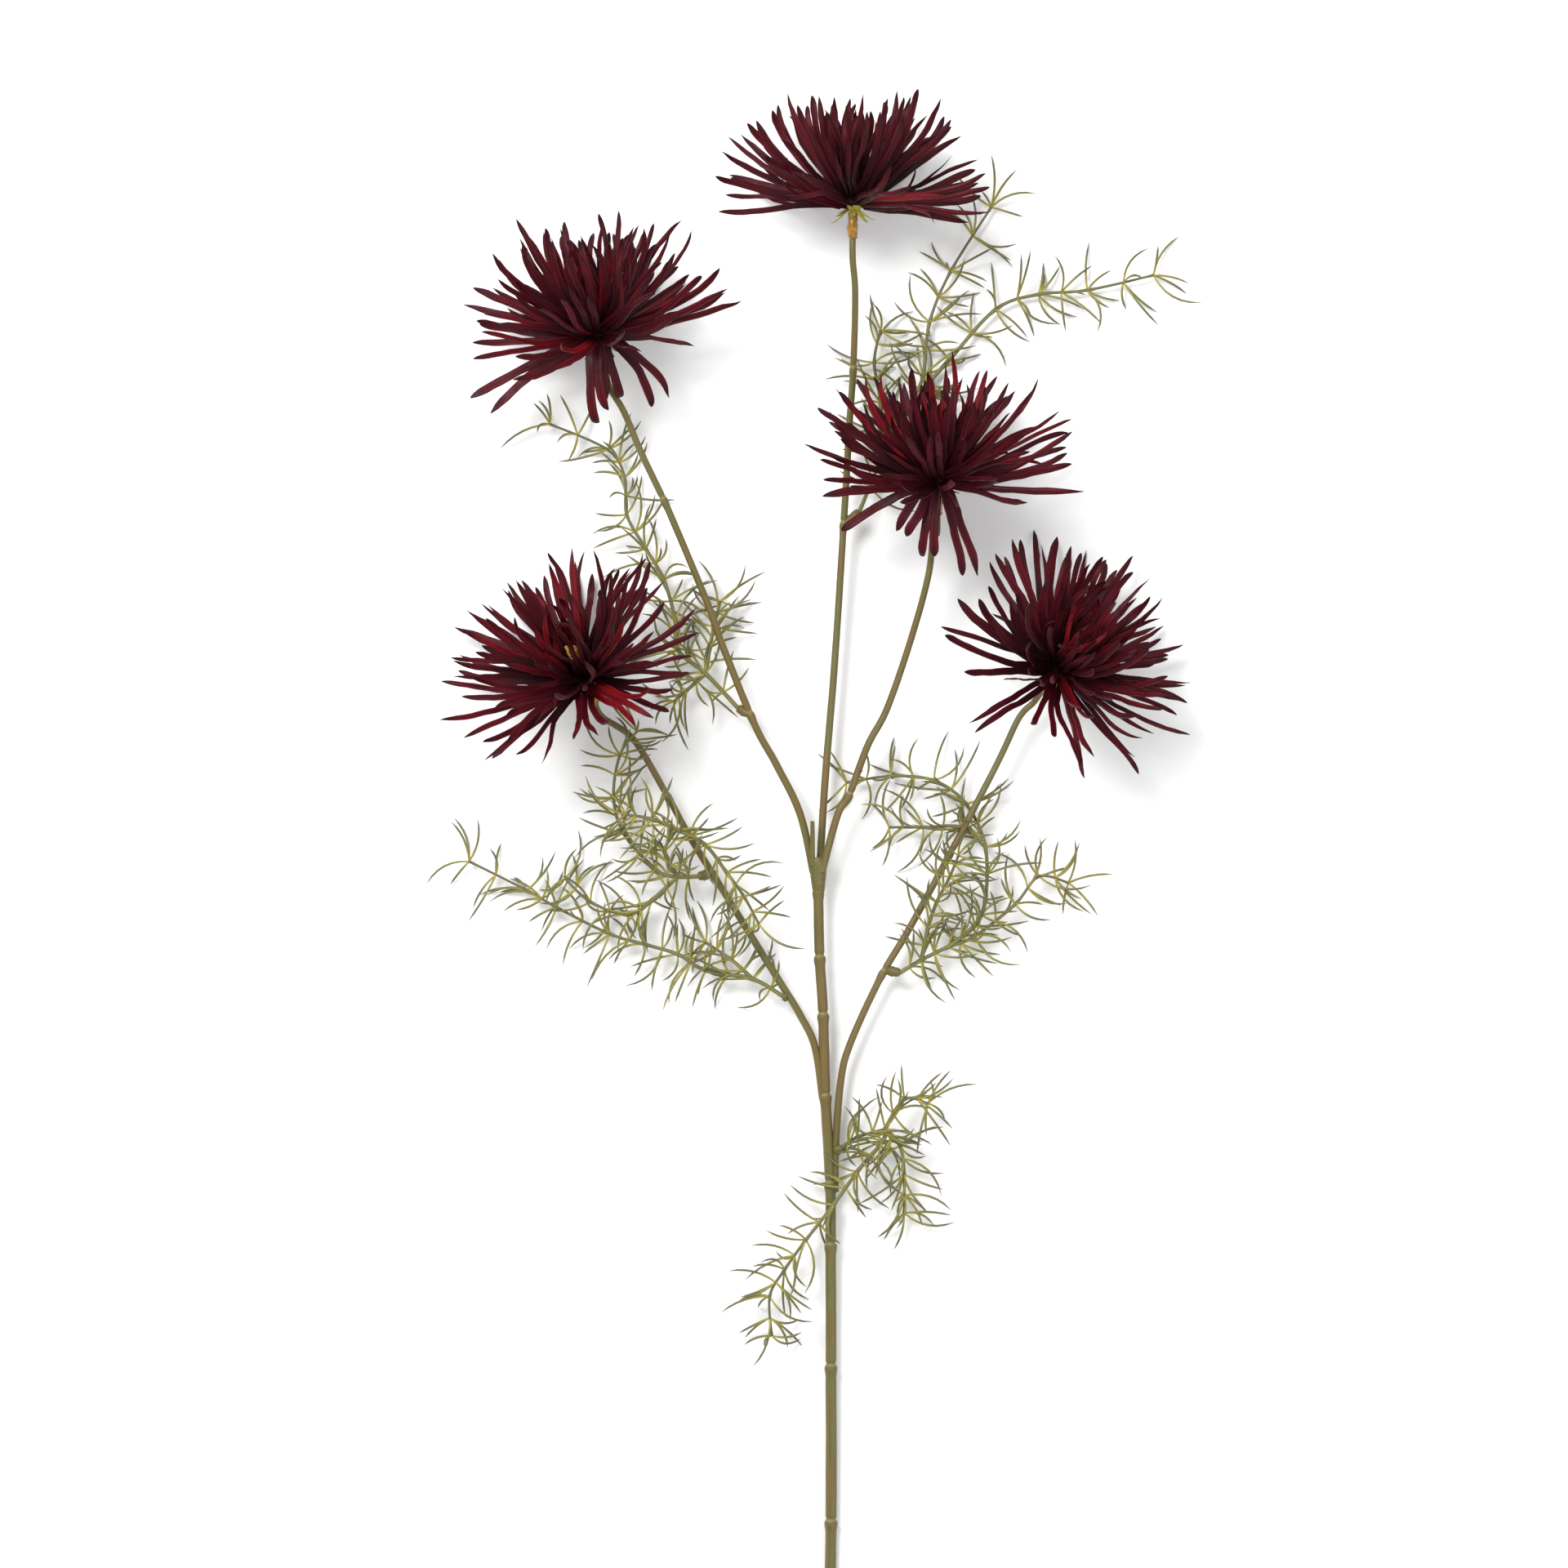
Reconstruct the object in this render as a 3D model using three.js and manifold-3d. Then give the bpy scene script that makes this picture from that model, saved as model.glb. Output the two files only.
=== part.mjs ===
// Spider chrysanthemum spray: one jointed stem that forks into five branches, each with a
// spider bloom, and six wiry fern sprigs. It is cut, and lies on a flat surface.
// Millimetres, +Z up, the stem runs along +Y and the blooms are at its far end.

import * as THREE from 'three';
import { mergeVertices } from 'three/addons/utils/BufferGeometryUtils.js';
import Module from 'manifold-3d';

const wasm = await Module();
wasm.setup();

// ---------- driving dimensions ----------

const GAP = 0.3;                    // clearance kept between pieces that touch
const STEM = { butt: 2.7, top: 2.35, sides: 7, steps: 2 };
const BRANCH = { root: 1.8, head: 1.5, sides: 6, steps: 1 };
const NODE_SWELL = 1.16;            // how much a joint ring stands out of the stem
const SLEEVE = { flare: 0.3, middle: 3.7, mouth: 4.3, length: 17 };
const STUB = { root: 1.3, tip: 0.9 };
const SOCKET = { root: 1.8, middle: 2.5, mouth: 1.8, sides: 6 };
const COLLAR = { length: 12, foot: 1.9, waist: 2.5, top: 2.2 };
const CALYX = { depth: 3, rim: 4.6, sepals: 6, sepalLength: 8, sepalWidth: 3 };
const PLUG = { radius: 3.4, height: 13 };
const PETAL = { width: 5.4, root: 1.9, thickness: 1.2, steps: 12 };
const NEEDLE = { radius: 0.62, shortest: 10, longest: 21, perTuft: 2 };
const SLIVER = 0.12;                // edges and steps smaller than this are smoothed away
const LOWEST = 0.9;                 // height of a petal that lies on the surface
const LAYER = 2.3;                  // each whorl lies this much higher than the one below

// Petal whorls from the outside in. Angles are degrees: elevation above the plane across
// the bloom's axis, spread of that elevation, and curl towards the axis along the petal.
// Rings are the steps of the petal's line where its blade has a section.
const WHORLS = [
  { name: 'outer', count: 14, elevation: 6, spread: 18, length: 69, curl: 8, hub: 6.2, rings: [4, 8] },
  { name: 'middle', count: 14, elevation: 27, spread: 16, length: 67, curl: 10, hub: 6, rings: [4, 8] },
  { name: 'inner', count: 12, elevation: 48, spread: 16, length: 61, curl: 12, hub: 5.6, rings: [6] },
  { name: 'core', count: 8, elevation: 70, spread: 12, length: 46, curl: 14, hub: 5.2, rings: [6] },
];
const HUB_THICKNESS = 1.8;

// Blooms: heading and tilt of the axis in degrees, and the petals that hang down, each as
// azimuth, elevation, curl and length. Azimuth 0 is to the right and 90 faces upwards.
const BLOOMS = [
  { at: [10.6, 662, 41], heading: 90, tilt: 4, floor: 0, hanging: [[5, -6, 4, 56]] },
  {
    at: [-107.5, 601, 37],
    heading: 102,
    tilt: 20,
    floor: 0,
    hanging: [[172, -14, -6, 62], [112, -48, -30, 44], [84, -58, -26, 36], [42, -34, -20, 44]],
  },
  { at: [-114.4, 442, 33], heading: 115, tilt: 40, floor: 0, hanging: [[250, -12, -8, 50]] },
  {
    at: [49.8, 533, 45],
    heading: 90,
    tilt: 22,
    floor: 9,
    hanging: [[60, -46, -24, 48], [104, -52, -22, 40], [168, -14, -4, 56], [128, -30, -16, 30]],
  },
  { at: [105.6, 446, 33.6], heading: 55, tilt: 45, floor: 0, hanging: [[198, -14, 22, 33]] },
];

// ---------- routes ----------

// The stem's centre line, seen from above. It lies on the surface at its cut end and is
// lifted by the blooms at the other.
const MAIN_ROUTE = [
  [0, 0], [0.8, 47], [0.8, 120], [0.6, 177], [0.4, 206], [-1.9, 247], [-3, 285],
  [-4.6, 312], [-5.3, 343], [-5.7, 359],
];
const MAIN_HEIGHTS = { from: 2.75, to: 13.7, bend: 1.2 };
const MAIN_NODES = [47, 120, 177, 206, 247, 285, 312, 343];

// Each branch's centre line up to its collar, and its height where it starts and ends.
const BRANCHES = [
  {
    heights: { from: 11.4, bend: 4 },
    nodes: [515, 587],
    route: [
      [-4.6, 352], [-3, 381.5], [-1.1, 407], [1.5, 438], [3.8, 470], [6.1, 507],
      [8, 538], [9.4, 564], [11, 587], [11.8, 621],
    ],
  },
  {
    heights: { from: 14.4, bend: 1.5 },
    nodes: [426, 526],
    route: [
      [-7.6, 352], [-13.7, 379], [-24.7, 402], [-35, 421], [-49.8, 457.5], [-56, 475],
      [-69, 506.5], [-77.5, 526], [-88, 548], [-96, 567],
    ],
  },
  {
    heights: { from: 9.6, bend: 1.3 },
    nodes: [352, 388],
    route: [
      [-3.2, 246], [-6.8, 270], [-13.7, 285], [-24.7, 303], [-36, 321], [-47, 339],
      [-65, 368], [-76, 388], [-91.6, 414],
    ],
  },
  {
    heights: { from: 15.8, bend: 1.5 },
    nodes: [388],
    route: [
      [-3.6, 352], [3.8, 379], [9.1, 388], [17.9, 411.5], [26.6, 428], [37, 458],
      [45.6, 489], [48, 508],
    ],
  },
  {
    heights: { from: 8, bend: 1.3 },
    nodes: [305, 361],
    route: [
      [2.6, 202], [3, 226], [5.3, 254], [9.5, 271], [23.6, 302], [37, 325],
      [56.6, 361], [78, 402], [88.5, 424],
    ],
  },
];

// Fern sprigs: each wire's points as x, y and its heights at the start and the end. The
// first wire starts in a socket on a stem, and each later wire starts on an earlier one.
const SPRIGS = [
  {
    name: 'sprig_a',
    wires: [
      { z: [13, 6], at: [[14, 521], [24, 545]] },
      { z: [6, 5], at: [[24, 545], [38, 572], [44, 585], [47, 610], [57, 634], [76, 664]] },
      { z: [5.7, 5], at: [[38, 572], [56, 592], [78, 616], [98, 623], [121, 625], [152, 632]] },
      { z: [6, 8], at: [[24, 545], [24, 572], [21, 591], [24, 606]] },
    ],
  },
  {
    name: 'sprig_b',
    wires: [
      {
        z: [14, 8],
        at: [
          [-43, 429], [-58, 445], [-71, 456], [-72, 469], [-77.5, 489], [-86, 503.5], [-95, 519.5],
          [-96, 537], [-104, 550], [-131, 562],
        ],
      },
      { z: [13, 9], at: [[-58, 445], [-56, 457], [-54, 467], [-51, 479]] },
      { z: [13, 8], at: [[-58, 445], [-67, 437], [-73, 432]] },
    ],
  },
  {
    name: 'sprig_c',
    wires: [
      { z: [17, 16], at: [[-62, 350], [-71, 350], [-81, 353], [-96, 370], [-101, 387], [-98, 407], [-90, 418]] },
      { z: [17.5, 30], at: [[-71, 350], [-77, 362], [-71, 372]] },
      { z: [30, 27], at: [[-71, 372], [-58, 365], [-48, 352], [-40, 341], [-33, 328]] },
      { z: [30, 28], at: [[-71, 372], [-83, 377], [-95, 379]] },
      { z: [17, 6], at: [[-71, 350], [-83, 339], [-94, 332], [-112, 338], [-124, 349]] },
    ],
  },
  {
    name: 'sprig_d',
    wires: [
      {
        z: [12, 6],
        at: [
          [-22, 294], [-36, 302], [-58, 306], [-71, 313.5], [-86, 318], [-103, 323], [-128, 335.5],
          [-142, 343.5], [-169, 357],
        ],
      },
      { z: [11, 7], at: [[-36, 302], [-46, 311], [-58, 319]] },
    ],
  },
  {
    name: 'sprig_e',
    wires: [
      { z: [14, 10], at: [[33, 305], [43, 311], [55.5, 317], [68, 322], [87, 337], [98, 350], [112, 347]] },
      {
        z: [13, 6],
        at: [
          [55.5, 317], [68, 327], [73, 339], [73, 364], [64, 384], [49, 395], [29, 397],
          [8, 394],
        ],
      },
      { z: [9, 6], at: [[73, 364], [62, 373], [44, 373], [28, 373]] },
      { z: [14, 27], at: [[43, 311], [46, 326], [50, 338], [56, 350], [60, 360]] },
    ],
  },
  {
    name: 'sprig_f',
    wires: [
      { z: [10.5, 16], at: [[6, 223], [13, 228], [26, 232]] },
      {
        z: [16, 12],
        at: [[26, 232], [24.7, 226], [13, 212], [2, 196.5], [-11, 180], [-21, 166], [-28, 153.5], [-27, 135]],
      },
      { z: [16, 18], at: [[26, 232], [35, 246], [46, 244]] },
      { z: [16, 6], at: [[26, 232], [33, 224], [35, 210.5], [35, 192]] },
    ],
  },
];
const WIRE = { root: 1.15, tip: 0.6 };

// Sockets that a sprig's wire is plugged into: the stem, the socket's root and its mouth.
const SOCKETS = {
  branch_1: [{ at: [7.2, 514], mouth: [14, 521, 13] }],
  branch_2: [{ at: [-38, 426], mouth: [-43, 429, 14] }],
  branch_3: [{ at: [-55, 351.5], mouth: [-61.5, 350, 17] }, { at: [-19.3, 293.5], mouth: [-22, 294, 12] }],
  branch_5: [{ at: [26.5, 306], mouth: [33, 305, 14] }],
  main_stem: [{ at: [2, 221], mouth: [6, 223, 10.5] }],
};

// ---------- materials ----------

const finish = (color, roughness) => new THREE.MeshStandardMaterial({ color, roughness });
const MATERIALS = {
  stem: finish(0x75692f, 0.5),
  sprig: finish(0x85863f, 0.55),
  petal: finish(0x4a1019, 0.7),
  stamen: finish(0xc8a028, 0.85),
  sepal: finish(0xb0a848, 0.6),
  collar: finish(0xb58829, 0.35),
};

// ---------- small helpers ----------

const degrees = THREE.MathUtils.degToRad;
const mix = THREE.MathUtils.lerp;
const vec = (x, y, z) => new THREE.Vector3(x, y, z);

// A repeatable number from 0 to 1 for each seed and index.
function scatter(seed, index) {
  const wave = Math.sin(seed * 12.9898 + index * 78.233) * 43758.5453;
  return wave - Math.floor(wave);
}

function signedVolume(points, triangles) {
  return triangles.reduce((sum, [a, b, c]) => {
    const normal = points[a].clone().cross(points[b]);
    return sum + normal.dot(points[c]) / 6;
  }, 0);
}

function solidFrom(points, triangles) {
  const outward = signedVolume(points, triangles) > 0;
  const faces = outward ? triangles : triangles.map(([a, b, c]) => [a, c, b]);
  const vertProperties = new Float32Array(points.flatMap((point) => point.toArray()));
  const triVerts = new Uint32Array(faces.flat());
  return new wasm.Manifold(new wasm.Mesh({ numProp: 3, vertProperties, triVerts }));
}

function solidFromGeometry(geometry) {
  geometry.deleteAttribute('normal');
  geometry.deleteAttribute('uv');
  const merged = mergeVertices(geometry, 1e-4);
  const vertProperties = new Float32Array(merged.attributes.position.array);
  const triVerts = new Uint32Array(merged.index.array);
  return new wasm.Manifold(new wasm.Mesh({ numProp: 3, vertProperties, triVerts }));
}

// A closed solid through rings of points. A ring of one point is a tip.
function loft(rings) {
  const points = rings.flat();
  const triangles = [];
  const starts = [];
  let start = 0;
  for (const ring of rings) {
    starts.push(start);
    start += ring.length;
  }
  for (let i = 0; i + 1 < rings.length; i += 1) {
    const size = rings[i].length;
    for (let k = 0; k < size; k += 1) {
      const a = starts[i] + k;
      const b = starts[i] + ((k + 1) % size);
      if (rings[i + 1].length === 1) {
        triangles.push([a, b, starts[i + 1]]);
      } else {
        const c = starts[i + 1] + ((k + 1) % size);
        const d = starts[i + 1] + k;
        triangles.push([a, b, c], [a, c, d]);
      }
    }
  }
  for (let k = 1; k + 1 < rings[0].length; k += 1) triangles.push([0, k + 1, k]);
  const last = rings.length - 1;
  for (let k = 1; k + 1 < rings[last].length; k += 1) {
    triangles.push([starts[last], starts[last] + k, starts[last] + k + 1]);
  }
  return solidFrom(points, triangles);
}

// A round tube along points with a radius at each of them.
function tube(points, radii, sides) {
  const rings = [];
  let across = vec(0, 0, 1);
  points.forEach((point, i) => {
    const before = points[Math.max(i - 1, 0)];
    const after = points[Math.min(i + 1, points.length - 1)];
    const along = after.clone().sub(before).normalize();
    across = across.clone().addScaledVector(along, -across.dot(along)).normalize();
    const other = along.clone().cross(across);
    const ring = [];
    for (let k = 0; k < sides; k += 1) {
      const turn = (2 * Math.PI * (k + 0.5)) / sides;
      ring.push(
        point
          .clone()
          .addScaledVector(across, radii[i] * Math.cos(turn))
          .addScaledVector(other, radii[i] * Math.sin(turn)),
      );
    }
    rings.push(ring);
  });
  return loft(rings);
}

// Points on a smooth curve through the given ones, with the same count on each stretch.
function smooth(points, steps) {
  const result = [];
  for (let i = 0; i + 1 < points.length; i += 1) {
    const p0 = points[Math.max(i - 1, 0)];
    const p1 = points[i];
    const p2 = points[i + 1];
    const p3 = points[Math.min(i + 2, points.length - 1)];
    for (let k = 0; k < steps; k += 1) {
      const t = k / steps;
      const point = p1.clone().multiplyScalar(2);
      point.addScaledVector(p2.clone().sub(p0), t);
      const square = p0.clone().multiplyScalar(2).addScaledVector(p1, -5);
      square.addScaledVector(p2, 4).sub(p3);
      point.addScaledVector(square, t * t);
      const cube = p1.clone().multiplyScalar(3).addScaledVector(p2, -3).add(p3).sub(p0);
      point.addScaledVector(cube, t * t * t);
      result.push(point.multiplyScalar(0.5));
    }
  }
  result.push(points[points.length - 1].clone());
  return result;
}

// ---------- blooms ----------

function bloomFrame(bloom) {
  const heading = degrees(bloom.heading);
  const tilt = degrees(bloom.tilt);
  const axis = vec(Math.cos(tilt) * Math.cos(heading), Math.cos(tilt) * Math.sin(heading), Math.sin(tilt));
  const right = axis.clone().cross(vec(0, 0, 1)).normalize();
  const up = right.clone().cross(axis);
  return { axis, right, up, base: vec(...bloom.at) };
}

// A body of revolution about the bloom's axis: rows of radius and height above its base.
function turned(bloom, rows, sides) {
  const { axis, base } = bloomFrame(bloom);
  const profile = rows.map(([radius, height]) => new THREE.Vector2(radius, height));
  const geometry = new THREE.LatheGeometry(profile, sides);
  geometry.applyQuaternion(new THREE.Quaternion().setFromUnitVectors(vec(0, 1, 0), axis));
  geometry.translate(base.x, base.y, base.z);
  return solidFromGeometry(geometry);
}

const hubHeight = (level) => level * (HUB_THICKNESS + GAP);

// The shape of one petal: where it starts, how it leans and how it lies.
function petalShape(number, level, k) {
  const bloom = BLOOMS[number];
  const whorl = WHORLS[level];
  const seed = (number + 1) * 10 + level;
  const chance = (n) => scatter(seed, k * 10 + n);
  if (k >= whorl.count) {
    const [azimuth, elevation, curl, length] = bloom.hanging[k - whorl.count];
    return { azimuth, elevation, curl, length, sway: 0, roll: 50 * (chance(6) - 0.5) };
  }
  const turn = k + 0.5 * (level % 2) + 0.5 * (chance(1) - 0.5);
  return {
    azimuth: (360 * turn) / whorl.count,
    elevation: whorl.elevation + whorl.spread * (chance(2) - 0.5),
    curl: whorl.curl + 16 * (chance(4) - 0.5),
    length: whorl.length * (1 - 0.2 * chance(3)),
    sway: 30 * (chance(5) - 0.5),
    roll: 90 * (chance(6) - 0.5),
  };
}

// A petal's centre line: it leans and curls as it grows, and lies along the surface where
// it meets it. Each step gives the point and the petal's two other directions.
function petalLine(number, level, k) {
  const bloom = BLOOMS[number];
  const { axis, right, up, base } = bloomFrame(bloom);
  const shape = petalShape(number, level, k);
  const floor = bloom.floor + LOWEST + LAYER * level;
  const step = shape.length / PETAL.steps;
  const line = [];
  let point = null;
  for (let i = 0; i <= PETAL.steps; i += 1) {
    const share = i / PETAL.steps;
    const azimuth = degrees(shape.azimuth + shape.sway * share);
    const elevation = degrees(shape.elevation + shape.curl * share ** 1.5 * 2);
    const outward = right.clone().multiplyScalar(Math.cos(azimuth));
    outward.addScaledVector(up, Math.sin(azimuth));
    const along = outward.clone().multiplyScalar(Math.cos(elevation));
    along.addScaledVector(axis, Math.sin(elevation));
    let side = axis.clone().cross(outward);
    const roll = degrees(shape.roll * Math.min(1, share * 3));
    side = side.multiplyScalar(Math.cos(roll)).addScaledVector(side.clone().cross(along), Math.sin(roll));
    if (point === null) {
      const startHeight = hubHeight(level) + HUB_THICKNESS / 2;
      point = base.clone().addScaledVector(outward, WHORLS[level].hub - 1.1);
      point.addScaledVector(axis, startHeight);
    } else {
      const next = point.clone().addScaledVector(along, step);
      if (next.z < floor) {
        const flat = vec(along.x, along.y, 0).normalize();
        next.copy(point).addScaledVector(flat, step);
        next.z = Math.max(floor, point.z - step);
        side.z = 0.1 * side.z;
        if (side.length() < 0.2) side = flat.clone().cross(vec(0, 0, 1));
      }
      point = next;
    }
    side.normalize();
    line.push({ point: point.clone(), along, side, face: side.clone().cross(along).normalize() });
  }
  return line;
}

function petal(number, level, k, grow) {
  const line = petalLine(number, level, k);
  const widths = [PETAL.root, PETAL.width, PETAL.width * 0.8];
  const stations = [0, ...WHORLS[level].rings, PETAL.steps];
  const rings = stations.map((stepIndex, i) => {
    const { point, side, face } = line[stepIndex];
    if (stepIndex === PETAL.steps) return [point.clone()];
    const half = widths[i] / 2 + grow;
    const keel = PETAL.thickness / 2 + grow;
    return [
      point.clone().addScaledVector(side, half).addScaledVector(face, keel / 2),
      point.clone().addScaledVector(side, -half).addScaledVector(face, keel / 2),
      point.clone().addScaledVector(face, -keel),
    ];
  });
  for (const corner of rings.flat()) corner.z = Math.max(corner.z, 0);
  return loft(rings);
}

function whorl(number, level, grow) {
  const { count, hub } = WHORLS[level];
  const low = hubHeight(level) - grow;
  const high = hubHeight(level) + HUB_THICKNESS + grow;
  const rows = [[0, low], [hub + grow, low], [hub + grow, high], [0, high]];
  const pieces = [turned(BLOOMS[number], rows, 8)];
  const hanging = level === 0 ? BLOOMS[number].hanging.length : 0;
  for (let k = 0; k < count + hanging; k += 1) pieces.push(petal(number, level, k, grow));
  return wasm.Manifold.union(pieces);
}

function stamens(number, grow) {
  const foot = hubHeight(WHORLS.length) - grow;
  const top = foot + PLUG.height + grow;
  const radius = PLUG.radius + grow;
  const rows = [
    [0, foot], [radius * 0.75, foot], [radius, foot + PLUG.height * 0.4],
    [radius * 0.9, top - radius * 0.5], [radius * 0.5, top - radius * 0.1], [0, top],
  ];
  return turned(BLOOMS[number], rows, 8);
}

function calyx(number, grow) {
  const bloom = BLOOMS[number];
  const { axis, right, up, base } = bloomFrame(bloom);
  const low = -GAP - CALYX.depth - grow;
  const high = -GAP + grow;
  const rows = [[0, low], [COLLAR.top + grow, low], [CALYX.rim + grow, high], [0, high]];
  const pieces = [turned(bloom, rows, 8)];
  for (let k = 0; k < CALYX.sepals; k += 1) {
    const azimuth = (2 * Math.PI * (k + 0.4 * scatter(number, k))) / CALYX.sepals;
    const outward = right.clone().multiplyScalar(Math.cos(azimuth)).addScaledVector(up, Math.sin(azimuth));
    const side = axis.clone().cross(outward);
    const along = outward.clone().multiplyScalar(0.88).addScaledVector(axis, -0.47).normalize();
    const root = base.clone().addScaledVector(axis, -GAP - CALYX.depth / 2).addScaledVector(outward, 1.5);
    const half = CALYX.sepalWidth / 2 + grow;
    const thick = 0.4 + grow;
    const ring = (distance, halfWidth) => {
      const centre = root.clone().addScaledVector(along, distance);
      return [
        centre.clone().addScaledVector(side, halfWidth),
        centre.clone().addScaledVector(side, -halfWidth),
        centre.clone().addScaledVector(axis, thick * 2),
      ];
    };
    const tip = root.clone().addScaledVector(along, CALYX.sepalLength + 1.5 + grow);
    pieces.push(loft([ring(0, half * 0.6), ring(CALYX.sepalLength * 0.55, half), [tip]]));
  }
  return wasm.Manifold.union(pieces);
}

const collarTop = -2 * GAP - CALYX.depth;

function collar(number, grow) {
  const low = collarTop - COLLAR.length - grow;
  const high = collarTop + grow;
  const rows = [
    [0, low], [COLLAR.foot + grow, low], [COLLAR.waist + grow, low + COLLAR.length * 0.35],
    [COLLAR.top + grow, high], [0, high],
  ];
  return turned(BLOOMS[number], rows, 8);
}

// ---------- stems ----------

const riseAt = (heights, share) => mix(heights.from, heights.to, share ** heights.bend);

function raised(route, heights) {
  const first = route[0][1];
  const last = route[route.length - 1][1];
  return route.map(([x, y]) => vec(x, y, riseAt(heights, (y - first) / (last - first))));
}

function branchLine(number) {
  const { axis, base } = bloomFrame(BLOOMS[number]);
  const end = base.clone().addScaledVector(axis, collarTop - COLLAR.length - GAP);
  const neck = end.clone().addScaledVector(axis, -9);
  const { route, heights } = BRANCHES[number];
  const share = (neck.y - route[0][1]) / (end.y - route[0][1]);
  const to = heights.from + (neck.z - heights.from) / share ** heights.bend;
  const first = route[0][1];
  const points = route.map(([x, y]) => {
    const part = (y - first) / (end.y - first);
    return vec(x, y, riseAt({ ...heights, to }, part));
  });
  return smooth([...points, neck, end], BRANCH.steps);
}

const mainLine = () => smooth(raised(MAIN_ROUTE, MAIN_HEIGHTS), STEM.steps);

// The stem's line with a short ring added at each joint, and the radius at each point.
function jointed(line, nodes, root, tip, grow) {
  const first = line[0].y;
  const last = line[line.length - 1].y;
  const points = [];
  const radii = [];
  const radiusAt = (y) => mix(root, tip, (y - first) / (last - first)) + grow;
  const pointAt = (y) => {
    const i = line.findIndex((point) => point.y > y);
    const from = line[i - 1];
    return from.clone().lerp(line[i], (y - from.y) / (line[i].y - from.y));
  };
  const rows = line.map((point) => ({ point, swell: 1 }));
  for (const y of nodes) {
    rows.push({ point: pointAt(y - 3), swell: 1 });
    rows.push({ point: pointAt(y), swell: NODE_SWELL });
    rows.push({ point: pointAt(y + 1.5), swell: 1 });
  }
  rows.sort((a, b) => a.point.y - b.point.y);
  rows.forEach(({ point, swell }, i) => {
    const crowded = swell === 1 && i > 0 && point.y - points[points.length - 1].y < 1.2;
    if (crowded) return;
    points.push(point);
    radii.push(radiusAt(point.y) * swell);
  });
  return { points, radii };
}

function sockets(name, line, grow) {
  return (SOCKETS[name] ?? []).map(({ at, mouth }) => {
    const distance = (point) => Math.hypot(point.x - at[0], point.y - at[1]);
    const near = line.reduce((best, point) => (distance(point) < distance(best) ? point : best));
    const root = vec(at[0], at[1], near.z);
    const along = vec(...mouth).sub(root).normalize();
    const end = vec(...mouth).addScaledVector(along, -GAP / 2 + grow);
    const middle = root.clone().lerp(end, 0.5);
    const radii = [SOCKET.root + grow, SOCKET.middle + grow, SOCKET.mouth + grow];
    return tube([root, middle, end], radii, SOCKET.sides);
  });
}

function mainStem(grow) {
  const line = mainLine();
  const { points, radii } = jointed(line, MAIN_NODES, STEM.butt, STEM.top, grow);
  const pieces = [tube(points, radii, STEM.sides), ...sockets('main_stem', line, grow)];
  const top = line[line.length - 1];
  const foot = vec(-5.2, top.y - SLEEVE.length, top.z - 0.6);
  const sleevePoints = [foot, vec(-5.4, top.y - 9, top.z - 0.3), vec(-5.4, top.y, top.z)];
  const sleeveRadii = [STEM.top + SLEEVE.flare + grow, SLEEVE.middle + grow, SLEEVE.mouth + grow];
  pieces.push(tube(sleevePoints, sleeveRadii, STEM.sides));
  const stub = [vec(-8, top.y - 4, top.z + 2.2), vec(-8, top.y + 17, top.z + 7)];
  pieces.push(tube(stub, [STUB.root + grow, STUB.tip + grow], SOCKET.sides));
  return wasm.Manifold.union(pieces);
}

function branch(number, grow) {
  const line = branchLine(number);
  const { points, radii } = jointed(line, BRANCHES[number].nodes, BRANCH.root, BRANCH.head, grow);
  const name = `branch_${number + 1}`;
  return wasm.Manifold.union([tube(points, radii, BRANCH.sides), ...sockets(name, line, grow)]);
}

// ---------- fern sprigs ----------

function wireLine({ at, z }) {
  return at.map(([x, y], i) => vec(x, y, mix(z[0], z[1], i / (at.length - 1))));
}

// Needles that spread from a tuft on the wire, each as its two end points.
function tuftNeedles(seed, tuft, point, along, count) {
  const sideways = along.clone().cross(vec(0, 0, 1)).normalize();
  const upward = sideways.clone().cross(along);
  const needles = [];
  for (let k = 0; k < count; k += 1) {
    const chance = (n) => scatter(seed, tuft * 40 + k * 5 + n);
    const turn = Math.PI * (k + 0.5 * (chance(1) - 0.5)) + 0.9 * (chance(2) - 0.5);
    const spread = degrees(mix(30, 78, chance(3)));
    const length = mix(NEEDLE.shortest, NEEDLE.longest, chance(4));
    const away = sideways.clone().multiplyScalar(Math.cos(turn)).addScaledVector(upward, Math.sin(turn));
    const end = point.clone().addScaledVector(along, length * Math.cos(spread));
    end.addScaledVector(away, length * Math.sin(spread));
    end.z = Math.max(end.z, 0.8);
    needles.push([point, end]);
  }
  return needles;
}

function sprig(index, grow) {
  const seed = 70 + index;
  const pieces = [];
  let tuft = 0;
  SPRIGS[index].wires.forEach((wire) => {
    const line = wireLine(wire);
    const last = line.length - 1;
    const radii = line.map((_, i) => mix(WIRE.root, WIRE.tip, i / last) + grow);
    pieces.push(tube(line, radii, 3));
    for (let i = 1; i <= last; i += 1) {
      const along = line[i].clone().sub(line[i - 1]).normalize();
      for (const [from, to] of tuftNeedles(seed, tuft, line[i], along, NEEDLE.perTuft)) {
        const direction = to.clone().sub(from).normalize();
        const side = direction.clone().cross(vec(0, 0, 1)).normalize();
        const ring = [0, 1, 2].map((corner) => {
          const turn = (2 * Math.PI * corner) / 3;
          const radius = NEEDLE.radius + grow;
          return from.clone()
            .addScaledVector(side, radius * Math.cos(turn))
            .addScaledVector(side.clone().cross(direction), radius * Math.sin(turn));
        });
        pieces.push(loft([ring, [to.clone().addScaledVector(direction, grow)]]));
      }
      tuft += 1;
    }
  });
  return wasm.Manifold.union(pieces);
}

// ---------- assembly ----------

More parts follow.
